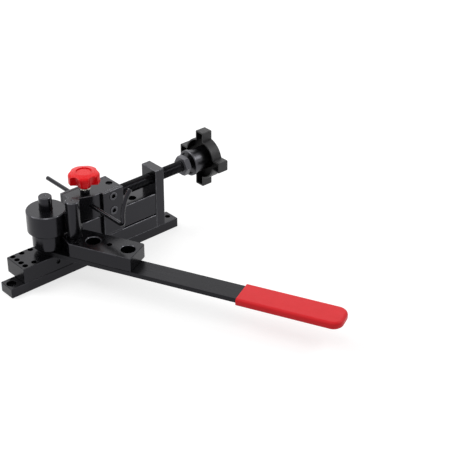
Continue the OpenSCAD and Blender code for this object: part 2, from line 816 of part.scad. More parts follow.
// The screws of the side plates
module side_plate_screws() {
    x = plate_x1 - plate_screw_seat + plate_screw_head;
    length = plate_thickness - plate_screw_seat + plate_screw_grip;
    color(dark_steel) on_guide() {
        for (p = right_plate_screws) translate([x, p[0], p[1]]) rotate([0, 90, 0])
            cap_screw(screw_m, head_m, plate_screw_head, length, socket_m);
        for (p = left_plate_screws) translate([-x, p[0], p[1]]) rotate([0, -90, 0])
            cap_screw(screw_m, head_m, plate_screw_head, length, socket_m);
    }
}

// The screw in the top of the saddle whose point keeps the lead screw in its socket
module swivel_screw() {
    tip = screw_diameter / 2 - swivel_depth + slide_clearance;
    body = tip + swivel_point;
    top = screw_drop - swivel_recess;
    point = swivel_width / 2 - slide_clearance;
    r = swivel_screw / 2;
    color(dark_steel) translate([line_x, swivel_y, screw_z]) difference() {
        rotate_extrude($fn = 40)
            polygon([[0, tip], [point, tip], [point, body], [r, body], [r, top], [0, top]]);
        translate([0, 0, top]) socket(small_socket);
    }
}

// The pad that the clamp presses on the stop rod
module clamp_pad() {
    color(brass) translate([line_x, clamp_y, 0])
        bar(stud_diameter - 2 * slide_clearance, pad_z0, stud_z0, small_chamfer, 0, 40);
}

// The stud of the clamp knob, with a bright flange under the knob
module clamp_stud() {
    color(bright_steel) translate([line_x, clamp_y, 0]) {
        bar(stud_diameter, stud_z0, stud_z1, small_chamfer, 0, 40);
        bar(flange_diameter, flange_z0, foot_z0, small_chamfer, 0, 40);
    }
}

// The metal collar between the saddle and the flange
module clamp_collar() {
    color(dark_steel) translate([line_x, clamp_y, 0])
        bar(collar_diameter, collar_z0, flange_z0, edge, stud_bore, 40);
}

// The star knob: a round dome on lobes that leaning hollows leave, with a flared foot
module star_knob() {
    foot = collar_diameter + foot_flare / 2;
    r = knob_diameter / 2;
    dome = (r * r + knob_dome * knob_dome) / (2 * knob_dome);
    height = knob_height + knob_dome;
    color(red_plastic) translate([line_x, clamp_y, 0]) difference() {
        union() {
            translate([0, 0, foot_z0]) cylinder(d1 = foot, d2 = foot + foot_flare, h = knob_foot);
            intersection() {
                translate([0, 0, knob_z0]) cylinder(r = r, h = height, $fn = 90);
                translate([0, 0, knob_top - dome]) sphere(r = dome, $fn = 90);
            }
        }
        for (i = [0 : knob_lobes - 1]) rotate(i * 360 / knob_lobes)
            translate([r - knob_hollow + hollow_radius, 0, knob_z0]) rotate([0, hollow_lean, 0])
                cylinder(r = hollow_radius, h = 3 * height, center = true);
        hole(stud_bore, foot_z0 - cut, stud_z1);
        hole(cap_diameter + 2 * screw_clearance, knob_top - cap_recess, knob_top + cut);
    }
}

// The cap in the top of the star knob
module knob_cap() {
    z0 = knob_top - cap_recess;
    color(red_plastic) translate([line_x, clamp_y, 0])
        bar(cap_diameter, z0, z0 + cap_thickness, small_chamfer, 0, 48);
}

// A ring of the rod's elbow, at an angle from the straight run: its centre and two radii
function elbow_ring(a) = [[elbow_x + rod_bend * sin(a), clamp_y, rod_z + rod_bend * (1 - cos(a))],
    [-sin(a), 0, cos(a)], [0, 1, 0]];

// A ring of the bow of the rod's leg, at an angle from the upright leg
function bow_ring(a) = [[rod_right, clamp_y + leg_bow * (1 - cos(a)), leg_z + leg_bow * sin(a)],
    [-1, 0, 0], [0, cos(a), -sin(a)]];

// A tube along a list of rings, closed at both ends
module tube(rings, r, sides) {
    last = len(rings) - 1;
    points = [for (s = rings, k = [0 : sides - 1])
        s[0] + r * (cos(k * 360 / sides) * s[1] + sin(k * 360 / sides) * s[2])];
    walls = [for (j = [0 : last - 1], k = [0 : sides - 1])
        let (n = (k + 1) % sides, a = j * sides, b = a + sides)
        each [[a + k, a + n, b + n], [a + k, b + n, b + k]]];
    ends = [[for (k = [sides - 1 : -1 : 0]) k], [for (k = [0 : sides - 1]) last * sides + k]];
    polyhedron(points, concat(walls, ends));
}

// The stop rod through the saddle: a straight run, then an elbow and a bowed leg that bending thins
module stop_rod() {
    start = [[elbow_x - bend_overlap, clamp_y, rod_z], [0, 0, 1], [0, 1, 0]];
    rings = concat([start], [for (i = [0 : elbow_steps]) elbow_ring(90 * i / elbow_steps)],
        [for (i = [0 : bow_steps]) bow_ring(leg_angle * i / bow_steps)]);
    color(steel) on_guide() {
        along_x([0, clamp_y, rod_z]) hole(rod_diameter, -rod_left, elbow_x, 32);
        tube(rings, rod_diameter / 2 - bend_thinning, rod_sides);
    }
}

// The lead screw: a plain nose with a swivel groove, a threaded run and a plain tail in the hub
module lead_screw() {
    r = screw_diameter / 2;
    y0 = socket_y + slide_clearance;
    end = screw_y1 - y0;
    groove = swivel_y - y0;
    g0 = groove - swivel_width / 2;
    g1 = groove + swivel_width / 2;
    root = r - swivel_depth;
    t0 = saddle_y1 + thread_plain - y0;
    turns = floor((nut_y0 - saddle_y1 - 2 * thread_plain) / screw_pitch);
    thread = [for (i = [0 : turns - 1]) each [[r, t0 + i * screw_pitch],
        [r - thread_depth, t0 + (i + 0.5) * screw_pitch]]];
    color(dark_steel) along_y([line_x, y0, screw_z]) difference() {
        rotate_extrude($fn = 32) polygon(concat(
            [[0, 0], [r - edge, 0], [r, edge], [r, g0], [root, g0], [root, g1], [r, g1]],
            thread, [[r, t0 + turns * screw_pitch], [r, end], [0, end]]));
        hole(end_screw + 2 * screw_clearance, end - grip_hole, end + cut, 32);
    }
}

// The jam nut that locks the hub on the lead screw
module jam_nut() {
    corners = nut_flats / cos(30);
    color(steel) along_y([line_x, nut_y0, screw_z]) difference() {
        intersection() {
            cylinder(d = corners, h = nut_thickness, $fn = 6);
            bar(corners, 0, nut_thickness, nut_chamfer, 0, 48);
        }
        hole(screw_bore, -cut, nut_thickness + cut, 48);
    }
}

// The hub of the handwheel, with a collar and a recess at its front
module wheel_hub() {
    c = hub_collar / 2;
    h = hub_diameter / 2;
    b = screw_bore / 2;
    r = hub_recess / 2;
    d = hub_recess_depth;
    color(bright_steel) along_y([line_x, hub_y0, screw_z]) rotate_extrude($fn = 64)
        polygon([[b, d], [r, d], [r, 0], [c - edge, 0], [c, edge], [c, hub_collar_length],
            [h, hub_collar_length], [h, hub_length], [b, hub_length]]);
}

// The outline of the handwheel
module wheel_outline() {
    circle(r = rim_radius, $fn = 72);
    for (a = [0, 90]) rotate(a) square([2 * wheel_radius, lobe_width], center = true);
}

// The handwheel: four hollow lobes on a rim, open to the front, with a web at the back
module hand_wheel() {
    color(black_plastic) along_y([line_x, wheel_y0, screw_z]) difference() {
        linear_extrude(wheel_depth) wheel_outline();
        translate([0, 0, -cut]) linear_extrude(wheel_depth - web_thickness + cut)
            offset(delta = -wheel_wall) wheel_outline();
        hole(end_screw + 2 * screw_clearance, 0, wheel_depth + cut);
    }
}

// The end screw that holds the wheel on the hub and the lead screw
module wheel_screw() {
    length = web_thickness + slide_clearance + frame_grip;
    color(dark_steel) along_y([line_x, wheel_y1 + end_screw_height, screw_z])
        cap_screw(end_screw, end_screw_head, end_screw_height, length, socket_m);
}

base_bar();
index_block();
index_screws();
pivot_post();
pivot_set_screw();
lower_rail();
guide_bar();
guide_screws();
upright();
upright_screws();
lever_bar();
lever_block();
lever_block_screws();
lever_grip();
bending_pin();
former_neck();
former_drum();
saddle_block();
side_plate_left();
side_plate_right();
side_plate_screws();
swivel_screw();
clamp_pad();
clamp_stud();
clamp_collar();
star_knob();
knob_cap();
stop_rod();
lead_screw();
jam_nut();
wheel_hub();
hand_wheel();
wheel_screw();
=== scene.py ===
"""Dresses the angle bender: each piece stands where the frame has it, with worked edges and its finish."""

import json
import logging
from collections.abc import Callable
from dataclasses import dataclass, field
from enum import Enum
from math import asin, atan2, ceil, cos, hypot, pi, radians, sin, sqrt

import bmesh
import bpy
from mathutils import Matrix, Vector


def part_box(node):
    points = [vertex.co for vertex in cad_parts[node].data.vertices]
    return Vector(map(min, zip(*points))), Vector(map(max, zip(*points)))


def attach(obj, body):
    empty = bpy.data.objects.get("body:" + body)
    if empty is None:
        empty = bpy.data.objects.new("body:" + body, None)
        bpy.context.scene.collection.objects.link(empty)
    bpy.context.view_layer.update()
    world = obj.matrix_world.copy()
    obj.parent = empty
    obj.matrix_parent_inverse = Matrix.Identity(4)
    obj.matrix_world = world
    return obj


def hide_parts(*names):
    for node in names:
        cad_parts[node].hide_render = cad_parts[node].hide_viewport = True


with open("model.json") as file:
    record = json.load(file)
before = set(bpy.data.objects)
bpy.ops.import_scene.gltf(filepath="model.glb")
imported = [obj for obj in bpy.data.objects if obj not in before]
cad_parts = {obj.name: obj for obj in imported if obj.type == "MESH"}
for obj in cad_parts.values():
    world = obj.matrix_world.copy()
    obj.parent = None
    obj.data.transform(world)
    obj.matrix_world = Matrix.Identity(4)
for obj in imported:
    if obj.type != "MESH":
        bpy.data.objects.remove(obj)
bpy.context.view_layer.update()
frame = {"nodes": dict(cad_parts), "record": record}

# Short names for the types that come up most
Mesh, Point, Edge = bmesh.types.BMesh, bmesh.types.BMVert, bmesh.types.BMEdge
Node, Tree = bpy.types.Node, bpy.types.NodeTree
# One output of a node, by its name or number
Output = tuple[Node, str | int]

LOG = logging.getLogger("angle_bender")

# One millimetre, in the metres of the frame. The sub-assemblies hold their sizes in millimetres.
MM = 0.001
# The photograph's width and height in pixels
IMAGE_PIXELS = 470
# Width of the camera's sensor in millimetres
SENSOR_MM = 36.0
# Angle at which the lever stands, from +X towards +Y, in degrees
LEVER_ANGLE = 24.6
# Points closer than this are one point, in millimetres
WELD_MM = 0.002
# Faces that meet at less than this many degrees are one flat face
FLAT_DEGREES = 0.4
# Edges that turn by more than this many degrees are broken
CORNER_DEGREES = 30.0
# Edges that still turn by more than this many degrees are shaded as sharp
CREASE_DEGREES = 38.0
# Faces narrower than this between two corners are chamfers, in millimetres
CHAMFER_MM = 1.0
# Share of the outline of a chamfer that is corners, at the least
CHAMFER_SHARE = 0.8
# Height of the normals of the upper chamfers on turned pieces, at the least and at the most; only these are
# painted pale, a painted highlight on the edges that face up, while the lower chamfers stay dark
CHAMFER_LEAN = (0.35, 0.94)
# Edges that turn by more than this many degrees are square corners
SQUARE_DEGREES = 60.0
# Points closer than this to a plane or a circle lie on it, in millimetres
NEAR_MM = 0.1
# Name of the face attribute for how pale an edge is painted, 1 where an edge was broken: partly wear, partly
# a painted highlight
WEAR_AND_HIGHLIGHT = "wear_and_highlight"
# How pale the chamfered mouths of the bores are painted, more than the edges: a painted highlight round the
# rims of the holes
MOUTH_HIGHLIGHT = 4.0

# The body that carries each node
BODY_OF = {node: body for body, nodes in frame["record"]["behaviour"]["bodies"].items() for node in nodes}


def linear(code: str) -> tuple[float, float, float, float]:
    """Turns an sRGB colour into the linear values that the shaders take.

    Args:
        code: The colour as "#rrggbb".

    Returns:
        Linear red, green and blue, and an alpha of 1.
    """
    parts = [int(code[i:i + 2], 16) / 255 for i in (1, 3, 5)]
    red, green, blue = (c / 12.92 if c <= 0.04045 else ((c + 0.055) / 1.055) ** 2.4 for c in parts)
    return red, green, blue, 1.0


def per_mm(size: float) -> float:
    """Gives the pattern scale at which one cell is this many millimetres across."""
    return 1.0 / (size * MM)


def add_node(tree: Tree, kind: str, inputs: dict | None = None, **settings) -> Node:
    """Adds a node to a tree.

    Args:
        tree: The node tree.
        kind: The node's type.
        inputs: By name or number, a value or a (node, output) pair that is linked.
        settings: The node's own properties.

    Returns:
        The new node.
    """
    node = tree.nodes.new(kind)
    for key, value in settings.items():
        setattr(node, key, value)
    for key, value in (inputs or {}).items():
        if isinstance(value, tuple) and isinstance(value[0], Node):
            tree.links.new(value[0].outputs[value[1]], node.inputs[key])
        else:
            node.inputs[key].default_value = value
    return node


class Lay(Enum):
    """The way that the marks of grinding or turning run on a piece."""

    ALONG_X = "along x"
    ALONG_Y = "along y"
    ALONG_Z = "along z"
    ROUND_Y = "round y"
    ROUND_Z = "round z"


@dataclass(frozen=True)
class Finish:
    """What all finishes share: a name, and a material that is made once."""

    name: str

    def material(self) -> bpy.types.Material:
        """Gives the material of this name, and makes it the first time.

        Returns:
            The finish as a node material.
        """
        found = bpy.data.materials.get(self.name)
        if found is not None:
            return found
        made = bpy.data.materials.new(self.name)
        made.use_nodes = True
        tree = made.node_tree
        tree.nodes.clear()
        shader = self.shade(tree, (add_node(tree, "ShaderNodeTexCoord"), "Object"))
        add_node(tree, "ShaderNodeOutputMaterial", {"Surface": (shader, "BSDF")})
        return made

    def shade(self, tree: Tree, place: Output) -> Node:
        """Builds the shader of the finish.

        Args:
            tree: The material's node tree.
            place: The output that gives the place on the piece.

        Returns:
            The shader node.
        """
        raise NotImplementedError


@dataclass(frozen=True)
class BlackedSteel(Finish):
    """Tool steel that was ground or turned, hot-blacked and oiled.

    The black is deep and a little cloudy, the oil gives an even half gloss, fine tool marks streak the
    reflections, and the broken edges are painted a paler, more metallic grey: partly wear, partly a
    painted highlight along the edges.
    """

    lay: Lay = Lay.ALONG_Y
    turn: float = 0.0
    centre: tuple[float, float, float] = (0.0, 0.0, 0.0)
    deep: str = "#050506"
    cloudy: str = "#0c0c0e"
    # Pale colour of the broken edges: partly wear, partly a painted highlight
    rub_and_highlight: str = "#8d8d92"
    # The oil film's cool cast, which tints the reflections
    oil: str = "#f3f2ff"
    # Clouds of the oxide, and the width and length of a tool mark, coarse enough to show in the render
    cloud_mm: float = 9.0
    mark_mm: float = 0.55
    run_mm: float = 16.0
    # Depth of the tool marks
    depth_mm: float = 0.012
    # Roughness, at the least and at the most
    gloss: tuple[float, float] = (0.16, 0.26)
    specular: float = 0.36
    # How pale the broken edges are painted, at the least and at the most: partly wear, partly a painted
    # highlight
    bare_and_highlight: tuple[float, float] = (0.1, 0.4)

    def marks(self, tree: Tree, place: Output) -> Output:
        """Lays the coordinates out so that a plain noise becomes tool marks.

        Args:
            tree: The material's node tree.
            place: The output that gives the place on the piece.

        Returns:
            The node and output that give the stretched coordinates.
        """
        moved = add_node(tree, "ShaderNodeMapping", {
            "Vector": place,
            "Location": tuple(-c for c in self.centre),
            "Rotation": (0.0, 0.0, -radians(self.turn))}), "Vector"
        across, along = per_mm(self.mark_mm), per_mm(self.run_mm)
        straight = {
            Lay.ALONG_X: (along, across, across),
            Lay.ALONG_Y: (across, along, across),
            Lay.ALONG_Z: (across, across, along)}
        if self.lay in straight:
            source, factors = moved, straight[self.lay]
        else:
            flat, height = ((1.0, 1.0, 0.0), "Z") if self.lay is Lay.ROUND_Z else ((1.0, 0.0, 1.0), "Y")
            spoke = add_node(tree, "ShaderNodeVectorMath", {0: moved, 1: flat}, operation="MULTIPLY")
            radius = add_node(tree, "ShaderNodeVectorMath", {0: (spoke, "Vector")}, operation="LENGTH")
            split = add_node(tree, "ShaderNodeSeparateXYZ", {"Vector": moved})
            ring = add_node(tree, "ShaderNodeCombineXYZ", {"X": (radius, "Value"), "Y": (split, height)})
            source, factors = (ring, "Vector"), (across, across, across)
        return add_node(tree, "ShaderNodeVectorMath", {
            0: source, 1: factors}, operation="MULTIPLY"), "Vector"

    def shade(self, tree: Tree, place: Output) -> Node:
        """Builds the shader: cloudy black, streaked gloss, shallow marks and pale edges, partly wear and
        partly painted highlight.

        Args:
            tree: The material's node tree.
            place: The output that gives the place on the piece.

        Returns:
            The shader node.
        """
        clouds = add_node(tree, "ShaderNodeTexNoise", {
            "Vector": place, "Scale": per_mm(self.cloud_mm), "Detail": 4.0, "Roughness": 0.6}), "Fac"
        streaks = add_node(tree, "ShaderNodeTexNoise", {
            "Vector": self.marks(tree, place), "Scale": 1.0, "Detail": 3.0, "Roughness": 0.55}), "Fac"
        black = add_node(tree, "ShaderNodeMix", {
            0: clouds, 6: linear(self.deep), 7: linear(self.cloudy)}, data_type="RGBA"), 2
        # The broken edges turn paler and metallic: partly wear, partly a painted highlight along the edges
        broken = add_node(tree, "ShaderNodeAttribute", attribute_name=WEAR_AND_HIGHLIGHT), "Fac"
        paling = add_node(tree, "ShaderNodeMapRange", {
            "Value": clouds, "From Min": 0.35, "From Max": 0.6,
            "To Min": self.bare_and_highlight[0], "To Max": self.bare_and_highlight[1]}), "Result"
        worn_and_lit = add_node(tree, "ShaderNodeMath", {0: broken, 1: paling}, operation="MULTIPLY"), "Value"
        colour = add_node(tree, "ShaderNodeMix", {
            0: worn_and_lit, 6: black, 7: linear(self.rub_and_highlight)}, data_type="RGBA"), 2
        gloss = add_node(tree, "ShaderNodeMapRange", {
            "Value": streaks, "From Min": 0.3, "From Max": 0.7,
            "To Min": self.gloss[0], "To Max": self.gloss[1]}), "Result"
        bump = add_node(tree, "ShaderNodeBump", {
            "Height": streaks, "Strength": 0.35, "Distance": self.depth_mm * MM}), "Normal"
        return add_node(tree, "ShaderNodeBsdfPrincipled", {
            "Base Color": colour, "Metallic": worn_and_lit, "Roughness": gloss, "Normal": bump,
            "Specular IOR Level": self.specular, "Specular Tint": linear(self.oil)})


@dataclass(frozen=True)
class PlatedMetal(Finish):
    """Bare or plated metal off the lathe: bright, with a fine grain that spreads the reflections."""

    pale: str = "#c9c9cb"
    dull: str = "#a5a6a8"
    grain_mm: float = 0.4
    depth_mm: float = 0.01
    # Roughness, at the least and at the most
    gloss: tuple[float, float] = (0.18, 0.32)

    def shade(self, tree: Tree, place: Output) -> Node:
        """Builds the shader: two tones of one metal, grained in gloss and height.

        Args:
            tree: The material's node tree.
            place: The output that gives the place on the piece.

        Returns:
            The shader node.
        """
        grain = add_node(tree, "ShaderNodeTexNoise", {
            "Vector": place, "Scale": per_mm(self.grain_mm), "Detail": 2.0}), "Fac"
        colour = add_node(tree, "ShaderNodeMix", {
            0: grain, 6: linear(self.pale), 7: linear(self.dull)}, data_type="RGBA"), 2
        gloss = add_node(tree, "ShaderNodeMapRange", {
            "Value": grain, "To Min": self.gloss[0], "To Max": self.gloss[1]}), "Result"
        bump = add_node(tree, "ShaderNodeBump", {
            "Height": grain, "Strength": 0.2, "Distance": self.depth_mm * MM}), "Normal"
        return add_node(tree, "ShaderNodeBsdfPrincipled", {
            "Base Color": colour, "Metallic": 1.0, "Roughness": gloss, "Normal": bump})


@dataclass(frozen=True)
class MouldedPlastic(Finish):
    """Plastic from a steel mould: one colour right through, with the mould's fine grain in its gloss."""

    low: str = "#0d0d0f"
    high: str = "#161618"
    flow_mm: float = 14.0
    grain_mm: float = 0.5
    depth_mm: float = 0.02
    # Roughness, at the least and at the most
    gloss: tuple[float, float] = (0.38, 0.5)
    coat: float = 0.0
    specular: float = 0.5

    def shade(self, tree: Tree, place: Output) -> Node:
        """Builds the shader: faint flow in the colour, spark-eroded grain in gloss and height.

        Args:
            tree: The material's node tree.
            place: The output that gives the place on the piece.

        Returns:
            The shader node.
        """
        flow = add_node(tree, "ShaderNodeTexNoise", {
            "Vector": place, "Scale": per_mm(self.flow_mm), "Detail": 2.0}), "Fac"
        grain = add_node(tree, "ShaderNodeTexNoise", {
            "Vector": place, "Scale": per_mm(self.grain_mm), "Detail": 3.0, "Roughness": 0.6}), "Fac"
        colour = add_node(tree, "ShaderNodeMix", {
            0: flow, 6: linear(self.low), 7: linear(self.high)}, data_type="RGBA"), 2
        gloss = add_node(tree, "ShaderNodeMapRange", {
            "Value": grain, "From Min": 0.3, "From Max": 0.7,
            "To Min": self.gloss[0], "To Max": self.gloss[1]}), "Result"
        bump = add_node(tree, "ShaderNodeBump", {
            "Height": grain, "Strength": 0.4, "Distance": self.depth_mm * MM}), "Normal"
        return add_node(tree, "ShaderNodeBsdfPrincipled", {
            "Base Color": colour, "Roughness": gloss, "Normal": bump,
            "Specular IOR Level": self.specular, "Coat Weight": self.coat, "Coat Roughness": 0.12})


# Ground flats: the wheel ran along each bar and up the upright, and the streaks in their gloss run with it
GROUND_ALONG = BlackedSteel("blacked_steel_ground_along", lay=Lay.ALONG_Y)
GROUND_UP = BlackedSteel("blacked_steel_ground_up", lay=Lay.ALONG_Z)
# The base and the lever's block take little of the pale edge colour, a weaker painted highlight, so their
# edges keep most of the black
GROUND_BASE = BlackedSteel("blacked_steel_ground_base", lay=Lay.ALONG_Y, specular=0.275, bare_and_highlight=(0.0, 0.06))
GROUND_LEVER = BlackedSteel("blacked_steel_ground_lever", lay=Lay.ALONG_X, turn=LEVER_ANGLE, specular=0.265,
                            bare_and_highlight=(0.02, 0.12))
# Rolled flat bar: scale under the black leaves it duller than the ground faces, with long coarse marks
ROLLED_BAR = BlackedSteel("blacked_steel_rolled_bar", lay=Lay.ALONG_X, turn=LEVER_ANGLE, mark_mm=0.9,
                          run_mm=26.0, gloss=(0.26, 0.38), specular=0.22, bare_and_highlight=(0.0, 0.04))
# Fasteners come blacked from a barrel, which leaves no lay and a duller gloss
BARREL_BLACKED = BlackedSteel("blacked_steel_fastener", lay=Lay.ALONG_Z, rub_and_highlight="#77777c", mark_mm=0.8,
                              run_mm=0.8, gloss=(0.2, 0.34))
# Phosphated steel: a crystal coat that is paler and duller than the blacked pieces
PHOSPHATED = BlackedSteel("phosphated_steel", lay=Lay.ALONG_Z, deep="#37373b", cloudy="#4c4c50", mark_mm=0.8,
                          run_mm=0.8, gloss=(0.3, 0.42), specular=0.5, bare_and_highlight=(0.3, 0.6))
# The key sockets, and all of the screws but the faces of their heads, are painted a dead black that gives
# almost nothing back: painted shade in the sockets
PAINTED_SHADE_SOCKET = BlackedSteel("painted_shade_key_socket", lay=Lay.ALONG_Z, gloss=(0.4, 0.5), specular=0.06,
                            bare_and_highlight=(0.0, 0.02))
# Hub turned from bar and browned: a dark satin grey that takes the lamps as broad soft bands
BROWNED_BAR = PlatedMetal("turned_browned_bar", pale="#565659", dull="#424246", gloss=(0.24, 0.36))
# Zinc plate: the brightest metal here, with a warm white gleam
ZINC = PlatedMetal("zinc_plated_steel", pale="#eceadf", dull="#d2cfc3")
# Turned brass: a dull yellow, out of sight under the stud
BRASS = PlatedMetal("turned_brass", pale="#c8a25a", dull="#a98545")
# Glass-filled nylon: dull black with a coarse mould grain
NYLON = MouldedPlastic("moulded_black_nylon", grain_mm=1.6, depth_mm=0.25, specular=0.42)
# The wheel's hollow side is painted a duller, dead black with no grain: painted shade inside the hollow
NYLON_PAINTED_SHADE = MouldedPlastic("painted_shade_black_nylon", low="#040405", high="#070708", gloss=(0.5, 0.6),
                              specular=0.15)
# Urea moulding: a hard, strong red with soft and faint highlights
RED_KNOB = MouldedPlastic("moulded_red_urea", low="#e80914", high="#f0101a", grain_mm=1.2, depth_mm=0.01,
                          gloss=(0.24, 0.32), coat=0.06, specular=0.17)
# Dipped vinyl: satin red skin with a faint orange peel
RED_GRIP = MouldedPlastic("dipped_red_vinyl", low="#d80d1a", high="#e21823", grain_mm=2.2, depth_mm=0.05,
                          gloss=(0.34, 0.44), specular=0.28)


def turned_black(name: str, lay: Lay, centre: Vector, specular: float = 0.36) -> BlackedSteel:
    """Gives the finish of a blacked piece off the lathe, with its rings round its own axis.

    Args:
        name: The piece.
        lay: Which axis the rings run round.
        centre: A point on that axis.
        specular: How strongly it mirrors.

    Returns:
        The finish.
    """
    return BlackedSteel(f"blacked_steel_turned_{name}", lay=lay, centre=tuple(centre), mark_mm=0.7,
                        specular=specular)


def kept_mesh(bm: Mesh, name: str) -> bpy.types.Mesh:
    """Turns a bmesh into a mesh, and frees it.

    Args:
        bm: The bmesh.
        name: The name of the mesh.

    Returns:
        The mesh.
    """
    mesh = bpy.data.meshes.new(name)
    bm.to_mesh(mesh)
    bm.free()
    return mesh


def add_object(name: str, data: bpy.types.ID) -> bpy.types.Object:
    """Adds an object to the scene.

    Args:
        name: The name of the object.
        data: Its mesh, camera or light.

    Returns:
        The object.
    """
    made = bpy.data.objects.new(name, data)
    bpy.context.scene.collection.objects.link(made)
    return made


def deliver(bm: Mesh, node: str, finish: Finish, *others: Finish) -> None:
    """Makes a mesh the piece that stands for a node, dresses it and lets it ride on that node's body.

    Args:
        bm: The finished mesh, in place; it is freed.
        node: The node that the piece stands for.
        finish: The finish of the piece.
        others: Finishes of the faces whose material number is 1 and up.
    """
    for face in bm.faces:
        face.smooth = True
    for edge in bm.edges:
        edge.smooth = not edge.is_manifold or edge.calc_face_angle() < radians(CREASE_DEGREES)
    mesh = kept_mesh(bm, f"{node}_dressed")
    for coat in (finish, *others):
        mesh.materials.append(coat.material())
    piece = add_object(mesh.name, mesh)
    piece.modifiers.new("even_flats", "WEIGHTED_NORMAL").keep_sharp = True
    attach(piece, BODY_OF[node])
    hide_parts(node)
    LOG.info("%s: %d faces in %s on %s", mesh.name, len(mesh.polygons), finish.name, BODY_OF[node])


def centre_of(node: str) -> Vector:
    """Gives the middle of a node's box."""
    low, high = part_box(node)
    return (low + high) / 2


def radius_of(node: str) -> float:
    """Gives half the width of a node's box along X."""
    low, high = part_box(node)
    return (high.x - low.x) / 2


def is_sharp(edge: Edge) -> bool:
    """Tells whether an edge turns far enough to be broken."""
    return edge.is_manifold and edge.calc_face_angle() > radians(CORNER_DEGREES)


def is_chamfer(face: bmesh.types.BMFace) -> bool:
    """Tells whether a face is the narrow strip of a chamfer, with a corner along each side.

    Args:
        face: The face.

    Returns:
        True for a chamfer.
    """
    around = face.calc_perimeter()
    corners = sum(e.calc_length() for e in face.edges if is_sharp(e))
    return 2 * face.calc_area() / around < CHAMFER_MM * MM and corners > CHAMFER_SHARE * around


def round_off(bm: Mesh, edges: list, size: float, steps: int, rub_and_highlight: float = 0.0) -> None:
    """Rounds edges off, or breaks them and marks the new faces to be painted pale: partly wear, partly a
    painted highlight.

    Args:
        bm: The mesh, with its face attribute for the pale edges if the new faces are painted pale.
        edges: The edges to round.
        size: How far they cut back, in millimetres.
        steps: Faces across each rounded edge.
        rub_and_highlight: How pale the new faces are painted: partly wear, partly a painted highlight.
    """
    made = bmesh.ops.bevel(bm, geom=edges, offset=size * MM, offset_type="OFFSET", segments=steps,
                           profile=0.5, affect="EDGES", clamp_overlap=False, material=-1)["faces"]
    if rub_and_highlight:
        wear_and_highlight = bm.faces.layers.float[WEAR_AND_HIGHLIGHT]
        for face in made:
            if face.is_valid:
                face[wear_and_highlight] = rub_and_highlight


def machined(node: str, edge_break: float, mouths: tuple = (), mouth_break: float = 0.0) -> Mesh:
    """Copies a node's mesh, clears the triangles from its flats and breaks its edges.

    Args:
        node: The node to copy.
        edge_break: How far the broken edges cut back, in millimetres.
        mouths: Centre and radius of the holes whose upper mouths are chamfered, in metres.
        mouth_break: How far those chamfers cut back, in millimetres.

    Returns:
        The mesh, with its chamfers and broken edges marked to be painted pale: partly wear, partly a painted
        highlight.
    """
    bm = bmesh.new()
    bm.from_mesh(frame["nodes"][node].data)
    bmesh.ops.remove_doubles(bm, verts=bm.verts[:], dist=WELD_MM * MM)
    bmesh.ops.dissolve_limit(bm, angle_limit=radians(FLAT_DEGREES), verts=bm.verts[:], edges=bm.edges[:])
    wear_and_highlight = bm.faces.layers.float.new(WEAR_AND_HIGHLIGHT)
    for face in bm.faces:
        face[wear_and_highlight] = float(is_chamfer(face))
    near, top = NEAR_MM * MM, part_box(node)[1].z
    for centre, radius in mouths:
        rim = [e for e in bm.edges if all(
            v.co.z > top - near and abs((v.co.xy - centre.xy).length - radius) < near for v in e.verts)]
        # The mouths of the bores are painted paler still: a painted highlight round the rims
        round_off(bm, rim, mouth_break, steps=1, rub_and_highlight=MOUTH_HIGHLIGHT)
    round_off(bm, [e for e in bm.edges if is_sharp(e)], edge_break, steps=2, rub_and_highlight=1.0)
    return bm


def machine(node: str, edge_break: float, finish: Finish) -> None:
    """Delivers a copy of a node with broken edges, in millimetres, in its finish."""
    deliver(machined(node, edge_break), node, finish)


def highlight_upper_chamfers(bm: Mesh) -> Mesh:
    """Marks only the upper chamfers of a piece turned round Z to be painted pale, as a painted highlight and
    as wear.

    Args:
        bm: The mesh, which has no attribute for the pale edges yet.

    Returns:
        The same mesh.
    """
    wear_and_highlight = bm.faces.layers.float.new(WEAR_AND_HIGHLIGHT)
    least, most = CHAMFER_LEAN
    for face in bm.faces:
        face[wear_and_highlight] = float(least < face.normal.z < most)
    return bm


def close_up(bm: Mesh) -> Mesh:
    """Merges doubled points and turns all faces outwards.

    Args:
        bm: The mesh.

    Returns:
        The same mesh.
    """
    bmesh.ops.remove_doubles(bm, verts=bm.verts[:], dist=WELD_MM * MM)
    bmesh.ops.recalc_face_normals(bm, faces=bm.faces[:])
    return bm


def lay_along_y(bm: Mesh, foot: Vector) -> Mesh:
    """Turns a mesh that stands along Z to lie along Y.

    Args:
        bm: The mesh, with its foot at the origin.
        foot: The point that the foot goes to.

    Returns:
        The same mesh.
    """
    bmesh.ops.transform(bm, matrix=Matrix.Translation(foot) @ Matrix.Rotation(-pi / 2, 4, "X"),
                        verts=bm.verts[:])
    return bm


def turned(profile: list[tuple[float, float]], soften: float = 0.0, steps: int = 96) -> Mesh:
    """Turns a profile round Z, as a lathe does.

    Args:
        profile: Radius and height of each point, in metres. A closed profile repeats its first point.
        soften: Radius of the fillets on the profile's corners, in metres.
        steps: Facets round the piece.

    Returns:
        The closed mesh.
    """
    bm = bmesh.new()
    points = [bm.verts.new((radius, 0.0, height)) for radius, height in profile]
    for first, second in zip(points, points[1:]):
        bm.edges.new((first, second))
    bmesh.ops.remove_doubles(bm, verts=bm.verts[:], dist=WELD_MM * MM)
    if soften:
        corners = [v for v in bm.verts if len(v.link_edges) == 2]
        bmesh.ops.bevel(bm, geom=corners, offset=soften, offset_type="OFFSET", segments=3, profile=0.5,
                        affect="VERTICES", clamp_overlap=True, material=-1)
    bmesh.ops.spin(bm, geom=bm.verts[:] + bm.edges[:], cent=(0, 0, 0), axis=(0, 0, 1), dvec=(0, 0, 0),
                   angle=2 * pi, steps=steps, use_merge=True)
    return close_up(bm)


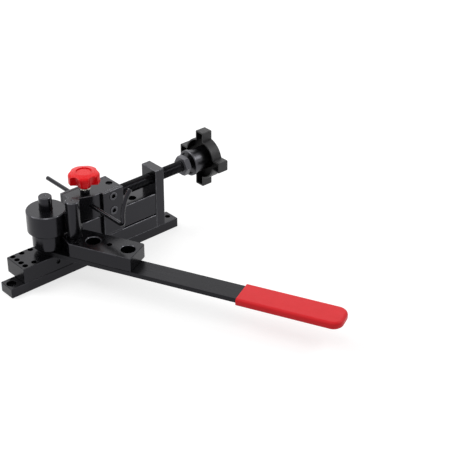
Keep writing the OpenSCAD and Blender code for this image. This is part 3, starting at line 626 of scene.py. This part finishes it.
def next_ring(bm: Mesh, ring: list) -> list:
    """Extrudes a ring of edges in place.

    Args:
        bm: The mesh.
        ring: The edges of the last ring.

    Returns:
        The edges of the new ring.
    """
    made = bmesh.ops.extrude_edge_only(bm, edges=ring)["geom"]
    fresh = {v for v in made if isinstance(v, Point)}
    return [e for e in made if isinstance(e, Edge) and set(e.verts) <= fresh]


def ring_points(ring: list) -> list:
    """Gives the points of a ring of edges, each once."""
    return list({v: None for e in ring for v in e.verts})


@dataclass
class BenchFrame:
    """The base bar with all that is screwed down on it: index block, post, rail, guide and upright."""

    edge_break: float = 0.25
    screw_break: float = 0.12
    post_chamfer: float = 1.0
    centre_drill: float = 1.7

    def build(self) -> None:
        """Builds and dresses the pieces of the frame."""
        for node, finish in (("base_bar", GROUND_BASE), ("index_block", GROUND_BASE),
                             ("lower_rail", GROUND_ALONG), ("guide_bar", GROUND_ALONG),
                             ("upright", GROUND_UP)):
            machine(node, self.edge_break, finish)
        for node in ("index_screws", "guide_screws", "upright_screws", "pivot_set_screw"):
            machine(node, self.screw_break, BARREL_BLACKED)
        round_bar("pivot_post", self.post_chamfer, self.centre_drill)


def round_bar(node: str, chamfer: float, drill: float) -> None:
    """Turns and delivers a plain upright bar with chamfered ends and a centre drilled in its top.

    Args:
        node: The node that it stands for.
        chamfer: Size of the end chamfers, in millimetres.
        drill: Radius and depth of the drilled centre, in millimetres.
    """
    low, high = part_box(node)
    middle, r = centre_of(node), radius_of(node)
    c, d = chamfer * MM, drill * MM
    bm = turned([(0, low.z), (r - c, low.z), (r, low.z + c), (r, high.z - c), (r - c, high.z), (d, high.z),
                 (0, high.z - d)], soften=0.15 * MM)
    bmesh.ops.translate(bm, vec=(middle.x, middle.y, 0), verts=bm.verts[:])
    deliver(highlight_upper_chamfers(bm), node, turned_black(node, Lay.ROUND_Z, middle))


@dataclass
class Former:
    """The round former and the spacer neck that lifts it above the lever."""

    rim_chamfer: float = 1.0
    neck_chamfer: float = 0.6
    under_chamfer: float = 1.4
    fillet: float = 0.2
    clearance: float = 0.05
    bore_lip: float = 0.4

    def collar(self, node: str, chamfer: float) -> Mesh:
        """Turns a bored round block.

        Args:
            node: The node that gives its place and size.
            chamfer: Size of the upper rim's chamfer, in millimetres.

        Returns:
            The mesh, in place.
        """
        low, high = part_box(node)
        r, bore = radius_of(node), radius_of("pivot_post") + self.clearance * MM
        c, under, lip = chamfer * MM, self.under_chamfer * MM, self.bore_lip * MM
        profile = [(bore + lip, low.z), (r - under, low.z), (r, low.z + under), (r, high.z - c),
                   (r - c, high.z), (bore + lip, high.z), (bore, high.z - lip), (bore, low.z + lip),
                   (bore + lip, low.z)]
        return highlight_upper_chamfers(turned(profile, soften=self.fillet * MM, steps=128))

    def build(self) -> None:
        """Builds and dresses the neck and the drum."""
        for node, chamfer in (("former_neck", self.neck_chamfer), ("former_drum", self.rim_chamfer)):
            deliver(self.collar(node, chamfer), node, turned_black(node, Lay.ROUND_Z, centre_of(node)))


@dataclass
class LeverArm:
    """The swinging lever: flat bar, die block with its screws, bending pin and the red grip."""

    edge_break: float = 0.25
    hole_mouth: float = 0.9
    bar_break: float = 0.3
    screw_break: float = 0.12
    pin_chamfer: float = 1.0
    pin_drill: float = 1.5
    grip_length: float = 116.0
    grip_reach: float = 351.0
    grip_half_width: float = 17.0
    grip_corner: float = 12.0
    grip_round: float = 3.2
    grip_lip: float = 0.9
    grip_dish: float = 0.6

    def build(self) -> None:
        """Builds and dresses the pieces of the lever and the pin that stands in it."""
        machine("lever_bar", self.bar_break, ROLLED_BAR)
        pin_holes = ("second_pin_hole", "third_pin_hole")
        holes = [mount for mount in frame["record"]["mounts"] if mount["name"] in pin_holes]
        radius = holes[0]["dims"]["r_mm"] * MM
        centres = [Vector(hole["pos_m"]) for hole in holes] + [centre_of("bending_pin")]
        mouths = tuple((centre, radius) for centre in centres)
        block = machined("lever_block", self.edge_break, mouths, self.hole_mouth)
        deliver(block, "lever_block", GROUND_LEVER)
        machine("lever_block_screws", self.screw_break, BARREL_BLACKED)
        round_bar("bending_pin", self.pin_chamfer, self.pin_drill)
        deliver(self.grip(), "lever_grip", RED_GRIP)

    def grip(self) -> Mesh:
        """Models the grip as a soft sleeve with round edges and an open, square-cut mouth.

        Returns:
            The mesh, in place on the lever.
        """
        low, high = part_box("lever_grip")
        size = Vector((self.grip_length, 2 * self.grip_half_width, 0)) * MM
        size.z = high.z - low.z
        middle = Vector(((self.grip_reach - self.grip_length / 2) * MM, 0, (low.z + high.z) / 2))
        place = Matrix.Translation(middle) @ Matrix.Diagonal(size).to_4x4()
        bm = bmesh.new()
        bmesh.ops.create_cube(bm, size=1.0, matrix=place)
        end_x, mouth_x, near = middle.x + size.x / 2, middle.x - size.x / 2, NEAR_MM * MM
        ends = [e for e in bm.edges if all(v.co.x > end_x - near for v in e.verts)
                and abs(e.verts[0].co.z - e.verts[1].co.z) > near]
        round_off(bm, ends, self.grip_corner, steps=10)
        rim = [e for e in bm.edges if e.calc_face_angle() > radians(SQUARE_DEGREES)
               and not all(v.co.x < mouth_x + near for v in e.verts)]
        round_off(bm, rim, self.grip_round, steps=5)
        mouth = [f for f in bm.faces if all(v.co.x < mouth_x + near for v in f.verts)]
        bmesh.ops.inset_region(bm, faces=mouth, thickness=self.grip_lip * MM, depth=0.0, use_even_offset=True)
        dished = list({v for f in mouth for v in f.verts})
        bmesh.ops.translate(bm, vec=(self.grip_dish * MM, 0, 0), verts=dished)
        bmesh.ops.rotate(bm, cent=(0, 0, 0), matrix=Matrix.Rotation(radians(LEVER_ANGLE), 3, "Z"),
                         verts=bm.verts[:])
        return close_up(bm)


@dataclass
class Saddle:
    """The sliding saddle with its side plates and screws."""

    edge_break: float = 0.25
    screw_break: float = 0.15
    socket_reach: float = 0.4

    def build(self) -> None:
        """Builds and dresses the saddle's pieces; the screws are pale only at the faces of their heads, and
        the rest of them, sockets and all, is painted dark as shade.
        """
        for node in ("saddle_block", "side_plate_left", "side_plate_right"):
            machine(node, self.edge_break, GROUND_ALONG)
        screws = machined("side_plate_screws", self.screw_break)
        inside = self.socket_reach * MM
        face_x = [side.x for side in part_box("side_plate_screws")]
        # Faces away from the heads' faces take the dead black: painted shade in the sockets
        for face in screws.faces:
            face.material_index = int(min(abs(face.calc_center_median().x - x) for x in face_x) > inside)
        deliver(screws, "side_plate_screws", PHOSPHATED, PAINTED_SHADE_SOCKET)
        machine("swivel_screw", self.screw_break, BARREL_BLACKED)


@dataclass
class ClampKnob:
    """The red star knob with its flanged stud, its collar and the pad that it presses on the rod."""

    lobes: int = 5
    steps_per_lobe: int = 48
    ring_step: float = 0.7
    foot: float = 6.0
    neck: float = 6.75
    flare: float = 2.2
    straight: float = 11.6
    dome: float = 2.6
    hollow: float = 6.4
    hollow_top: float = 2.6
    hollow_radius: float = 7.5
    hollow_flank: float = 3.0
    lobe_round: float = 0.7
    rim_round: float = 2.6
    skirt: float = 1.2
    cap_gap: float = 0.3
    cap_sink: float = 0.4
    cap_round: float = 0.4
    seat_depth: float = 2.0
    seat_edge: float = 0.5
    seat_drop: float = 0.3
    stud_radius: float = 4.0
    stud_chamfer: float = 0.25
    beads: int = 22
    bead_depth: float = 0.8
    steps_per_bead: int = 6

    axis: Vector = field(default_factory=lambda: centre_of("clamp_stud"))
    body: tuple[Vector, Vector] = field(default_factory=lambda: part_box("star_knob"))

    def ringed(self, segments: int, rings: list, cut: Callable[[float, float, float], float]) -> Mesh:
        """Models a closed piece ring by ring round the clamp's axis.

        Args:
            segments: Points on each ring.
            rings: Height and radius of each ring, in metres.
            cut: Gives how far a point is cut back, from its angle and the height and radius of its ring.

        Returns:
            The mesh, in place.
        """
        bm = bmesh.new()
        bmesh.ops.create_circle(bm, cap_ends=False, segments=segments, radius=1.0)
        ring = first = bm.edges[:]
        for number, (height, radius) in enumerate(rings):
            if number:
                ring = next_ring(bm, ring)
            for point in ring_points(ring):
                angle = atan2(point.co.y, point.co.x)
                reach = radius - cut(angle, height, radius)
                point.co = Vector((reach * cos(angle), reach * sin(angle), height))
        bmesh.ops.contextual_create(bm, geom=first)
        bmesh.ops.contextual_create(bm, geom=ring)
        bmesh.ops.translate(bm, vec=(self.axis.x, self.axis.y, 0), verts=bm.verts[:])
        return close_up(bm)

    def finer(self, profile: list[Vector]) -> list[Vector]:
        """Adds points to a profile, so that none of its steps is longer than the knob's rings allow.

        Args:
            profile: Height and radius of each point, in metres.

        Returns:
            The profile with the added points.
        """
        points = profile[:1]
        for first, second in zip(profile, profile[1:]):
            parts = ceil((second - first).length / (self.ring_step * MM))
            points += [first.lerp(second, (i + 1) / parts) for i in range(parts)]
        return points

    def hollowed(self, angle: float, height: float, radius: float) -> float:
        """Gives how far the round hollows between the lobes cut into the knob.

        Args:
            angle: The point's angle round the knob.
            height: Its height, in metres.
            radius: Its distance from the axis before the cut, in metres.

        Returns:
            The depth of the cut in metres, with the edges of the lobes rounded.
        """
        low, high = self.body
        r, tool, soft = (high.y - low.y) / 2, self.hollow_radius * MM, self.lobe_round * MM
        pitch = 2 * pi / self.lobes
        aside = r * abs(angle - pitch * round(angle / pitch))
        rise = (height - low.z - self.foot * MM) / (self.straight * MM)
        depth = (self.hollow + (self.hollow_top - self.hollow) * rise) * MM
        slope = tool - sqrt(max(tool ** 2 - aside ** 2, 0.0))
        slope += self.hollow_flank * max(aside - tool, 0.0)
        over = depth - slope - (r - radius)
        return (over + hypot(over, soft)) / 2

    def knob(self) -> Mesh:
        """Models the star knob, from its flared foot over the lobes and the flat dome to the seat of its cap.

        Returns:
            The mesh, in place.
        """
        low, high = self.body
        r, seat = (high.y - low.y) / 2, radius_of("knob_cap") + self.cap_gap * MM
        neck, flare, foot, skirt, turn, dome = (v * MM for v in (
            self.neck, self.flare, self.foot, self.skirt, self.rim_round, self.dome))
        z0, z1 = low.z, high.z
        under = z0 + foot
        ball = (r ** 2 + dome ** 2) / (2 * dome)

        def on_dome(radius: float) -> Vector:
            """Gives the point of the dome at this distance from the axis."""
            return Vector((z1 - (radius ** 2 - seat ** 2) / (2 * ball), radius))

        rim = on_dome(r)
        ends = Vector((rim.x - turn, r)), on_dome(r - turn)
        fillet = [ends[0].lerp(rim, t).lerp(rim.lerp(ends[1], t), t) for t in (0.0, 0.25, 0.5, 0.75, 1.0)]
        # Height and radius, in shares of the foot, its flare and the skirt below the lobes
        profile = [Vector(point) for point in (
            (z0, neck), (z0 + 0.08 * foot, neck + 0.14 * flare), (under - 0.1 * foot, neck + flare),
            (under, r - 3.6 * skirt), (under + 0.15 * skirt, r - 0.9 * skirt),
            (under + 0.45 * skirt, r - 0.3 * skirt), (under + skirt, r))]
        profile += fillet + [on_dome(seat + self.seat_edge * MM), Vector((z1 - self.seat_drop * MM, seat)),
                             Vector((z1 - self.seat_depth * MM, seat))]
        return self.ringed(self.lobes * self.steps_per_lobe, self.finer(profile), self.hollowed)

    def cap(self) -> Mesh:
        """Turns the cap: a plain disc with a round edge, a little below the knob's rim.

        Returns:
            The mesh, in place.
        """
        low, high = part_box("knob_cap")
        r, turn, top = radius_of("knob_cap"), self.cap_round * MM, high.z - self.cap_sink * MM
        bm = turned([(0, low.z), (r, low.z), (r, top - turn), (r - turn, top), (0, top)],
                    soften=0.12 * MM, steps=72)
        bmesh.ops.translate(bm, vec=(self.axis.x, self.axis.y, 0), verts=bm.verts[:])
        return bm

    def stud(self) -> Mesh:
        """Models the stud, with beads milled into the rim of its flange.

        Returns:
            The mesh, in place.
        """
        low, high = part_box("clamp_stud")
        z0, z1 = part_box("clamp_collar")[1].z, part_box("star_knob")[0].z
        rim = radius_of("clamp_stud")
        r, c, bead = (v * MM for v in (self.stud_radius, self.stud_chamfer, self.bead_depth))

        def beaded(angle: float, _height: float, radius: float) -> float:
            """Gives how far the gaps between the beads cut into the flange."""
            return bead * (0.5 - 0.5 * cos(self.beads * angle)) if radius > r + c else 0.0

        return self.ringed(self.beads * self.steps_per_bead, [
            (low.z, r - c), (low.z + c, r), (z0, r), (z0, rim - 2 * c), (z0 + c, rim), (z1 - c, rim),
            (z1, rim - 2 * c), (z1, r), (high.z - c, r), (high.z, r - c)], beaded)

    def build(self) -> None:
        """Builds and dresses the clamp's pieces."""
        machine("clamp_pad", edge_break=0.1, finish=BRASS)
        machine("clamp_collar", edge_break=0.15, finish=BARREL_BLACKED)
        deliver(self.stud(), "clamp_stud", ZINC)
        deliver(self.knob(), "star_knob", RED_KNOB)
        deliver(self.cap(), "knob_cap", RED_KNOB)


@dataclass
class StopRod:
    """The bent stop rod: a straight run through the saddle, an elbow and a bowed leg."""

    radius: float = 2.5
    elbow: float = 5.0
    straight: float = 5.0
    bow: float = 46.0
    bow_angle: float = 42.0
    tip_round: float = 0.9
    sides: int = 32

    def sweep(self, bm: Mesh, ring: list, centre: Vector, axis: Vector, angle: float, steps: int) -> list:
        """Bends the rod on: spins its last ring round a point.

        Args:
            bm: The mesh.
            ring: The edges of the last ring.
            centre: The middle of the bend.
            axis: The axis of the bend.
            angle: The angle of the bend, in degrees.
            steps: Rings in the bend.

        Returns:
            The edges of the ring at the end of the bend.
        """
        made = bmesh.ops.spin(bm, geom=ring_points(ring) + ring, cent=centre, axis=axis, dvec=(0, 0, 0),
                              angle=radians(angle), steps=steps, use_merge=False)
        return [e for e in made["geom_last"] if isinstance(e, Edge)]

    def rod(self) -> Mesh:
        """Models the rod along its bends, with rounded tips.

        Returns:
            The mesh, in place.
        """
        low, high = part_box("stop_rod")
        r, bend, bow = self.radius * MM, self.elbow * MM, self.bow * MM
        start = Vector((low.x, low.y + r, low.z + r))
        leg_x = high.x - r
        bm = bmesh.new()
        bmesh.ops.create_circle(bm, cap_ends=False, segments=self.sides, radius=r,
                                matrix=Matrix.Translation(start) @ Matrix.Rotation(pi / 2, 4, "Y"))
        ring = first = bm.edges[:]
        ring = next_ring(bm, ring)
        bmesh.ops.translate(bm, vec=(leg_x - bend - start.x, 0, 0), verts=ring_points(ring))
        middle = Vector((leg_x - bend, start.y, start.z + bend))
        ring = self.sweep(bm, ring, middle, Vector((0, -1, 0)), angle=90.0, steps=14)
        ring = next_ring(bm, ring)
        bmesh.ops.translate(bm, vec=(0, 0, self.straight * MM), verts=ring_points(ring))
        middle = Vector((leg_x, start.y + bow, start.z + bend + self.straight * MM))
        ring = self.sweep(bm, ring, middle, Vector((-1, 0, 0)), self.bow_angle, steps=18)
        for tip in (first, ring):
            face = bmesh.ops.contextual_create(bm, geom=tip)["faces"]
            round_off(bm, [e for f in face for e in f.edges], self.tip_round, steps=4)
        return close_up(bm)

    def build(self) -> None:
        """Builds and dresses the rod."""
        deliver(self.rod(), "stop_rod", BlackedSteel("blacked_steel_drawn_rod", lay=Lay.ALONG_X))


@dataclass
class Spindle:
    """The lead screw with its jam nut, hub and four-lobed handwheel."""

    pitch: float = 2.0
    thread_depth: float = 0.9
    steps_per_turn: int = 24
    thread_gap: float = 2.0
    run_out: float = 0.8
    crest_drop: float = 0.04
    core_drop: float = 0.02
    nose_chamfer: float = 0.6
    groove_depth: float = 2.0
    groove_width: float = 5.0
    hub_step: float = 4.0
    hub_bore: float = 7.05
    hub_edge: float = 0.8
    hub_radius: float = 14.5
    hub_recess: float = 13.5
    hub_recess_depth: float = 2.4
    wheel_reach: float = 36.0
    rim_radius: float = 25.7
    lobe_width: float = 13.5
    wall: float = 2.0
    web: float = 4.0
    corner_round: float = 1.3
    rim_round: float = 0.5
    arc_steps: int = 12

    axis: Vector = field(default_factory=lambda: centre_of("lead_screw"))

    def on_axis(self, y: float) -> Vector:
        """Gives the point of the screw's axis at this distance along the bender."""
        return Vector((self.axis.x, y, self.axis.z))

    def lead_screw(self) -> Mesh:
        """Models the lead screw: a turned shaft with a true helical thread on its waist.

        Returns:
            The mesh, in place.
        """
        low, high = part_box("lead_screw")
        r, length = radius_of("lead_screw"), high.y - low.y
        p, root, crest = self.pitch * MM, r - self.thread_depth * MM, r - self.crest_drop * MM
        gap, fade, nose = (v * MM for v in (self.thread_gap, self.run_out, self.nose_chamfer))
        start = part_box("saddle_block")[1].y + gap - low.y
        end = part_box("jam_nut")[0].y - gap - low.y
        g0 = centre_of("swivel_screw").y - low.y - self.groove_width / 2 * MM
        g1, groove = g0 + self.groove_width * MM, r - self.groove_depth * MM
        core = root - self.core_drop * MM
        bm = turned([(0, 0), (r - nose, 0), (r, nose), (r, g0), (groove, g0), (groove, g1), (r, g1),
                     (r, start - fade), (core, start), (core, end), (r, end + fade), (r, length),
                     (0, length)], steps=48)
        turns = int((end - start) / p)
        thread = bmesh.new()
        # One pitch of the thread: crest, flank, root and flank
        outline = [(crest, 0.0), (crest, 0.125), (root, 0.4375), (root, 0.6875), (crest, 1.0)]
        points = [thread.verts.new((radius, 0, start + share * p)) for radius, share in outline]
        for first, second in zip(points, points[1:]):
            thread.edges.new((first, second))
        bmesh.ops.spin(thread, geom=thread.verts[:] + thread.edges[:], cent=(0, 0, 0), axis=(0, 0, 1),
                       dvec=(0, 0, p / self.steps_per_turn), angle=2 * pi * (turns - 1),
                       steps=self.steps_per_turn * (turns - 1), use_merge=False)
        spare = kept_mesh(close_up(thread), "thread_spare")
        bm.from_mesh(spare)
        bpy.data.meshes.remove(spare)
        return lay_along_y(bm, self.on_axis(low.y))

    def hub(self) -> Mesh:
        """Turns the hub: a collar with a recess round the nut, painted dark as shade, then a plain barrel.

        Returns:
            The mesh, in place, with the recess, which takes the painted shade, as material 1.
        """
        low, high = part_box("wheel_hub")
        c, length, near = radius_of("wheel_hub"), high.y - low.y, NEAR_MM * MM
        b, h, step, edge = (v * MM for v in (self.hub_bore, self.hub_radius, self.hub_step, self.hub_edge))
        rim, floor = self.hub_recess * MM, self.hub_recess_depth * MM
        bm = turned([(b, floor), (rim, floor), (rim, 0), (c - edge, 0), (c, edge), (c, step - edge / 2),
                     (c - edge / 2, step), (h, step), (h, length), (b, length), (b, floor)],
                    soften=0.2 * MM)
        # The recess's floor and wall take the second material: painted shade round the nut
        for face in bm.faces:
            middle = face.calc_center_median()
            face.material_index = int(middle.z < floor + near and middle.xy.length < rim + near / 2)
        return lay_along_y(bm, self.on_axis(low.y))

    def wheel(self) -> Mesh:
        """Models the wheel: an outline of four lobes and four arcs, raised and hollowed out from its front.

        Returns:
            The mesh, in place, with the hollow, painted dark as shade, as material 1.
        """
        low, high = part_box("hand_wheel")
        depth, near = high.y - low.y, NEAR_MM * MM
        reach, rim, half = self.wheel_reach * MM, self.rim_radius * MM, self.lobe_width / 2 * MM
        meet = asin(half / rim)
        span = pi / 2 - 2 * meet
        # A quarter of the outline: the end of one lobe, then the arc to the next
        arc = [meet + span * i / self.arc_steps for i in range(self.arc_steps + 1)]
        quarter = [Vector((reach, -half, 0)), Vector((reach, half, 0))]
        quarter += [Vector((rim * cos(a), rim * sin(a), 0)) for a in arc]
        spins = [Matrix.Rotation(i * pi / 2, 3, "Z") for i in range(4)]
        bm = bmesh.new()
        face = bm.faces.new([bm.verts.new(spin @ point) for spin in spins for point in quarter])
        face.normal_update()
        back = bmesh.ops.extrude_face_region(bm, geom=[face])["geom"]
        raised = [v for v in back if isinstance(v, Point)]
        bmesh.ops.translate(bm, vec=(0, 0, depth), verts=raised)
        bmesh.ops.recalc_face_normals(bm, faces=bm.faces[:])
        front = [f for f in bm.faces if all(v.co.z < near for v in f.verts)]
        bmesh.ops.inset_region(bm, faces=front, thickness=self.wall * MM, depth=0.0, use_even_offset=True)
        well = bmesh.ops.extrude_face_region(bm, geom=front)["geom"]
        bmesh.ops.delete(bm, geom=front, context="FACES")
        floor = [v for v in well if isinstance(v, Point)]
        bmesh.ops.translate(bm, vec=(0, 0, depth - self.web * MM), verts=floor)
        # The hollow's floor and walls take the darker material: painted shade inside the wheel
        for face in {f for v in floor for f in v.link_faces}:
            face.material_index = 1
        bmesh.ops.recalc_face_normals(bm, faces=bm.faces[:])
        lobe_corners = [e for e in bm.edges if abs(e.verts[0].co.z - e.verts[1].co.z) > depth / 2
                        and e.verts[0].co.xy.length > reach]
        round_off(bm, lobe_corners, self.corner_round, steps=4)
        rims = [e for e in bm.edges if e.is_manifold and e.calc_face_angle() > radians(SQUARE_DEGREES)
                and (all(v.co.z < near for v in e.verts) or all(v.co.z > depth - near for v in e.verts))]
        round_off(bm, rims, self.rim_round, steps=2)
        return lay_along_y(bm, self.on_axis(low.y))

    def build(self) -> None:
        """Builds and dresses the spindle's pieces."""
        deliver(self.lead_screw(), "lead_screw",
                turned_black("lead_screw", Lay.ROUND_Y, self.axis, specular=0.16))
        machine("jam_nut", edge_break=0.2, finish=PHOSPHATED)
        # The recess takes the plain blacked steel, darker than the browned hub: painted shade round the nut
        deliver(self.hub(), "wheel_hub", BROWNED_BAR, turned_black("hub_recess", Lay.ROUND_Y, self.axis))
        deliver(self.wheel(), "hand_wheel", NYLON, NYLON_PAINTED_SHADE)
        machine("wheel_screw", edge_break=0.15, finish=BARREL_BLACKED)


@dataclass(frozen=True)
class Lamp:
    """A square soft lamp, with its place and size in metres."""

    name: str
    place: tuple[float, float, float]
    size: float
    watts: float


@dataclass
class Studio:
    """A white floor, soft lamps, an even white surround and the camera of the photograph."""

    # The camera, fitted to edges of the bender in the photograph: pixels, metres and degrees
    focal_pixels: float = 1153.73
    eye: tuple[float, float, float] = (0.9529, -0.5920, 0.7206)
    azimuth: float = 47.41
    elevation: float = 31.24
    roll: float = 0.64
    # The point that all lamps face, in metres
    aim: tuple[float, float, float] = (0.08, 0.06, 0.03)
    floor_size: float = 12.0
    floor_colour: str = "#bcbcbc"
    # How brightly the floor glows where it is seen, and the surround where it only lights
    floor_glow: float = 0.66
    surround: float = 0.46
    lamps: tuple[Lamp, ...] = (
        Lamp("key_lamp", (-0.7, -0.6, 1.3), 0.9, 10.0),
        Lamp("back_lamp", (-1.0, 0.93, 0.83), 1.4, 3.4),
        Lamp("high_lamp", (0.6, -0.5, 1.3), 0.4, 1.2),
        Lamp("edge_lamp", (0.75, 0.85, 0.95), 0.45, 3.5))

    def camera(self) -> None:
        """Sets up the camera at the photograph's viewpoint."""
        a, e, r = (radians(v) for v in (self.azimuth, self.elevation, self.roll))
        forward = Vector((-sin(a) * cos(e), cos(a) * cos(e), -sin(e)))
        level = Vector((cos(a), sin(a), 0.0))
        down = forward.cross(level)
        right = cos(r) * level - sin(r) * down
        up = -(sin(r) * level + cos(r) * down)
        data = bpy.data.cameras.new("photo_camera")
        data.sensor_width = SENSOR_MM
        data.lens = self.focal_pixels * SENSOR_MM / IMAGE_PIXELS
        camera = add_object("photo_camera", data)
        turn = Matrix((right, up, -forward)).transposed().to_4x4()
        camera.matrix_world = Matrix.Translation(self.eye) @ turn
        bpy.context.scene.camera = camera

    def strength(self, tree: Tree, seen: float, unseen: float = 0.0) -> Output:
        """Gives a glow one strength where it is seen and another where it only lights the bender.

        Args:
            tree: The node tree.
            seen: The strength for camera, glossy and transmission rays.
            unseen: The strength for all other rays.

        Returns:
            The node and output that give the strength.
        """
        path = add_node(tree, "ShaderNodeLightPath")
        rays = path, "Is Camera Ray"
        for other in ("Is Glossy Ray", "Is Transmission Ray"):
            rays = add_node(tree, "ShaderNodeMath", {
                0: rays, 1: (path, other)}, operation="MAXIMUM"), "Value"
        return add_node(tree, "ShaderNodeMapRange", {
            "Value": rays, "To Min": unseen, "To Max": seen}), "Result"

    def floor(self) -> None:
        """Lays the white floor, which keeps the shadow under the bender."""
        bm = bmesh.new()
        bmesh.ops.create_grid(bm, x_segments=1, y_segments=1, size=self.floor_size / 2)
        mesh = kept_mesh(bm, "floor")
        paper = bpy.data.materials.new("white_paper_floor")
        paper.use_nodes = True
        tree = paper.node_tree
        tree.nodes.clear()
        matte = add_node(tree, "ShaderNodeBsdfDiffuse", {"Color": linear(self.floor_colour)})
        glow = add_node(tree, "ShaderNodeEmission", {"Strength": self.strength(tree, self.floor_glow)})
        both = add_node(tree, "ShaderNodeAddShader", {0: (matte, "BSDF"), 1: (glow, "Emission")})
        add_node(tree, "ShaderNodeOutputMaterial", {"Surface": (both, "Shader")})
        mesh.materials.append(paper)
        add_object("floor", mesh)

    def light(self) -> None:
        """Hangs the lamps and makes the surround white to the eye and soft to the light."""
        for lamp in self.lamps:
            data = bpy.data.lights.new(lamp.name, "AREA")
            data.shape = "SQUARE"
            data.size = lamp.size
            data.energy = lamp.watts
            bulb = add_object(lamp.name, data)
            bulb.location = lamp.place
            bulb.rotation_euler = (Vector(self.aim) - Vector(lamp.place)).to_track_quat("-Z", "Y").to_euler()
        world = bpy.data.worlds.new("white_surround")
        world.use_nodes = True
        tree = world.node_tree
        tree.nodes.clear()
        sky = add_node(tree, "ShaderNodeBackground", {
            "Color": (1.0, 1.0, 1.0, 1.0), "Strength": self.strength(tree, seen=1.0, unseen=self.surround)})
        add_node(tree, "ShaderNodeOutputWorld", {"Surface": (sky, "Background")})
        bpy.context.scene.world = world

    def build(self) -> None:
        """Sets up the whole studio."""
        bpy.context.scene.view_settings.view_transform = "Standard"
        self.camera()
        self.floor()
        self.light()


def main() -> None:
    """Builds the studio and the sub-assemblies."""
    logging.basicConfig(level=logging.INFO, format="%(name)s: %(message)s")
    for part in (Studio(), BenchFrame(), Former(), LeverArm(), Saddle(), ClampKnob(), StopRod(), Spindle()):
        LOG.info("building %s", type(part).__name__)
        part.build()


if __name__ == "__main__":
    main()
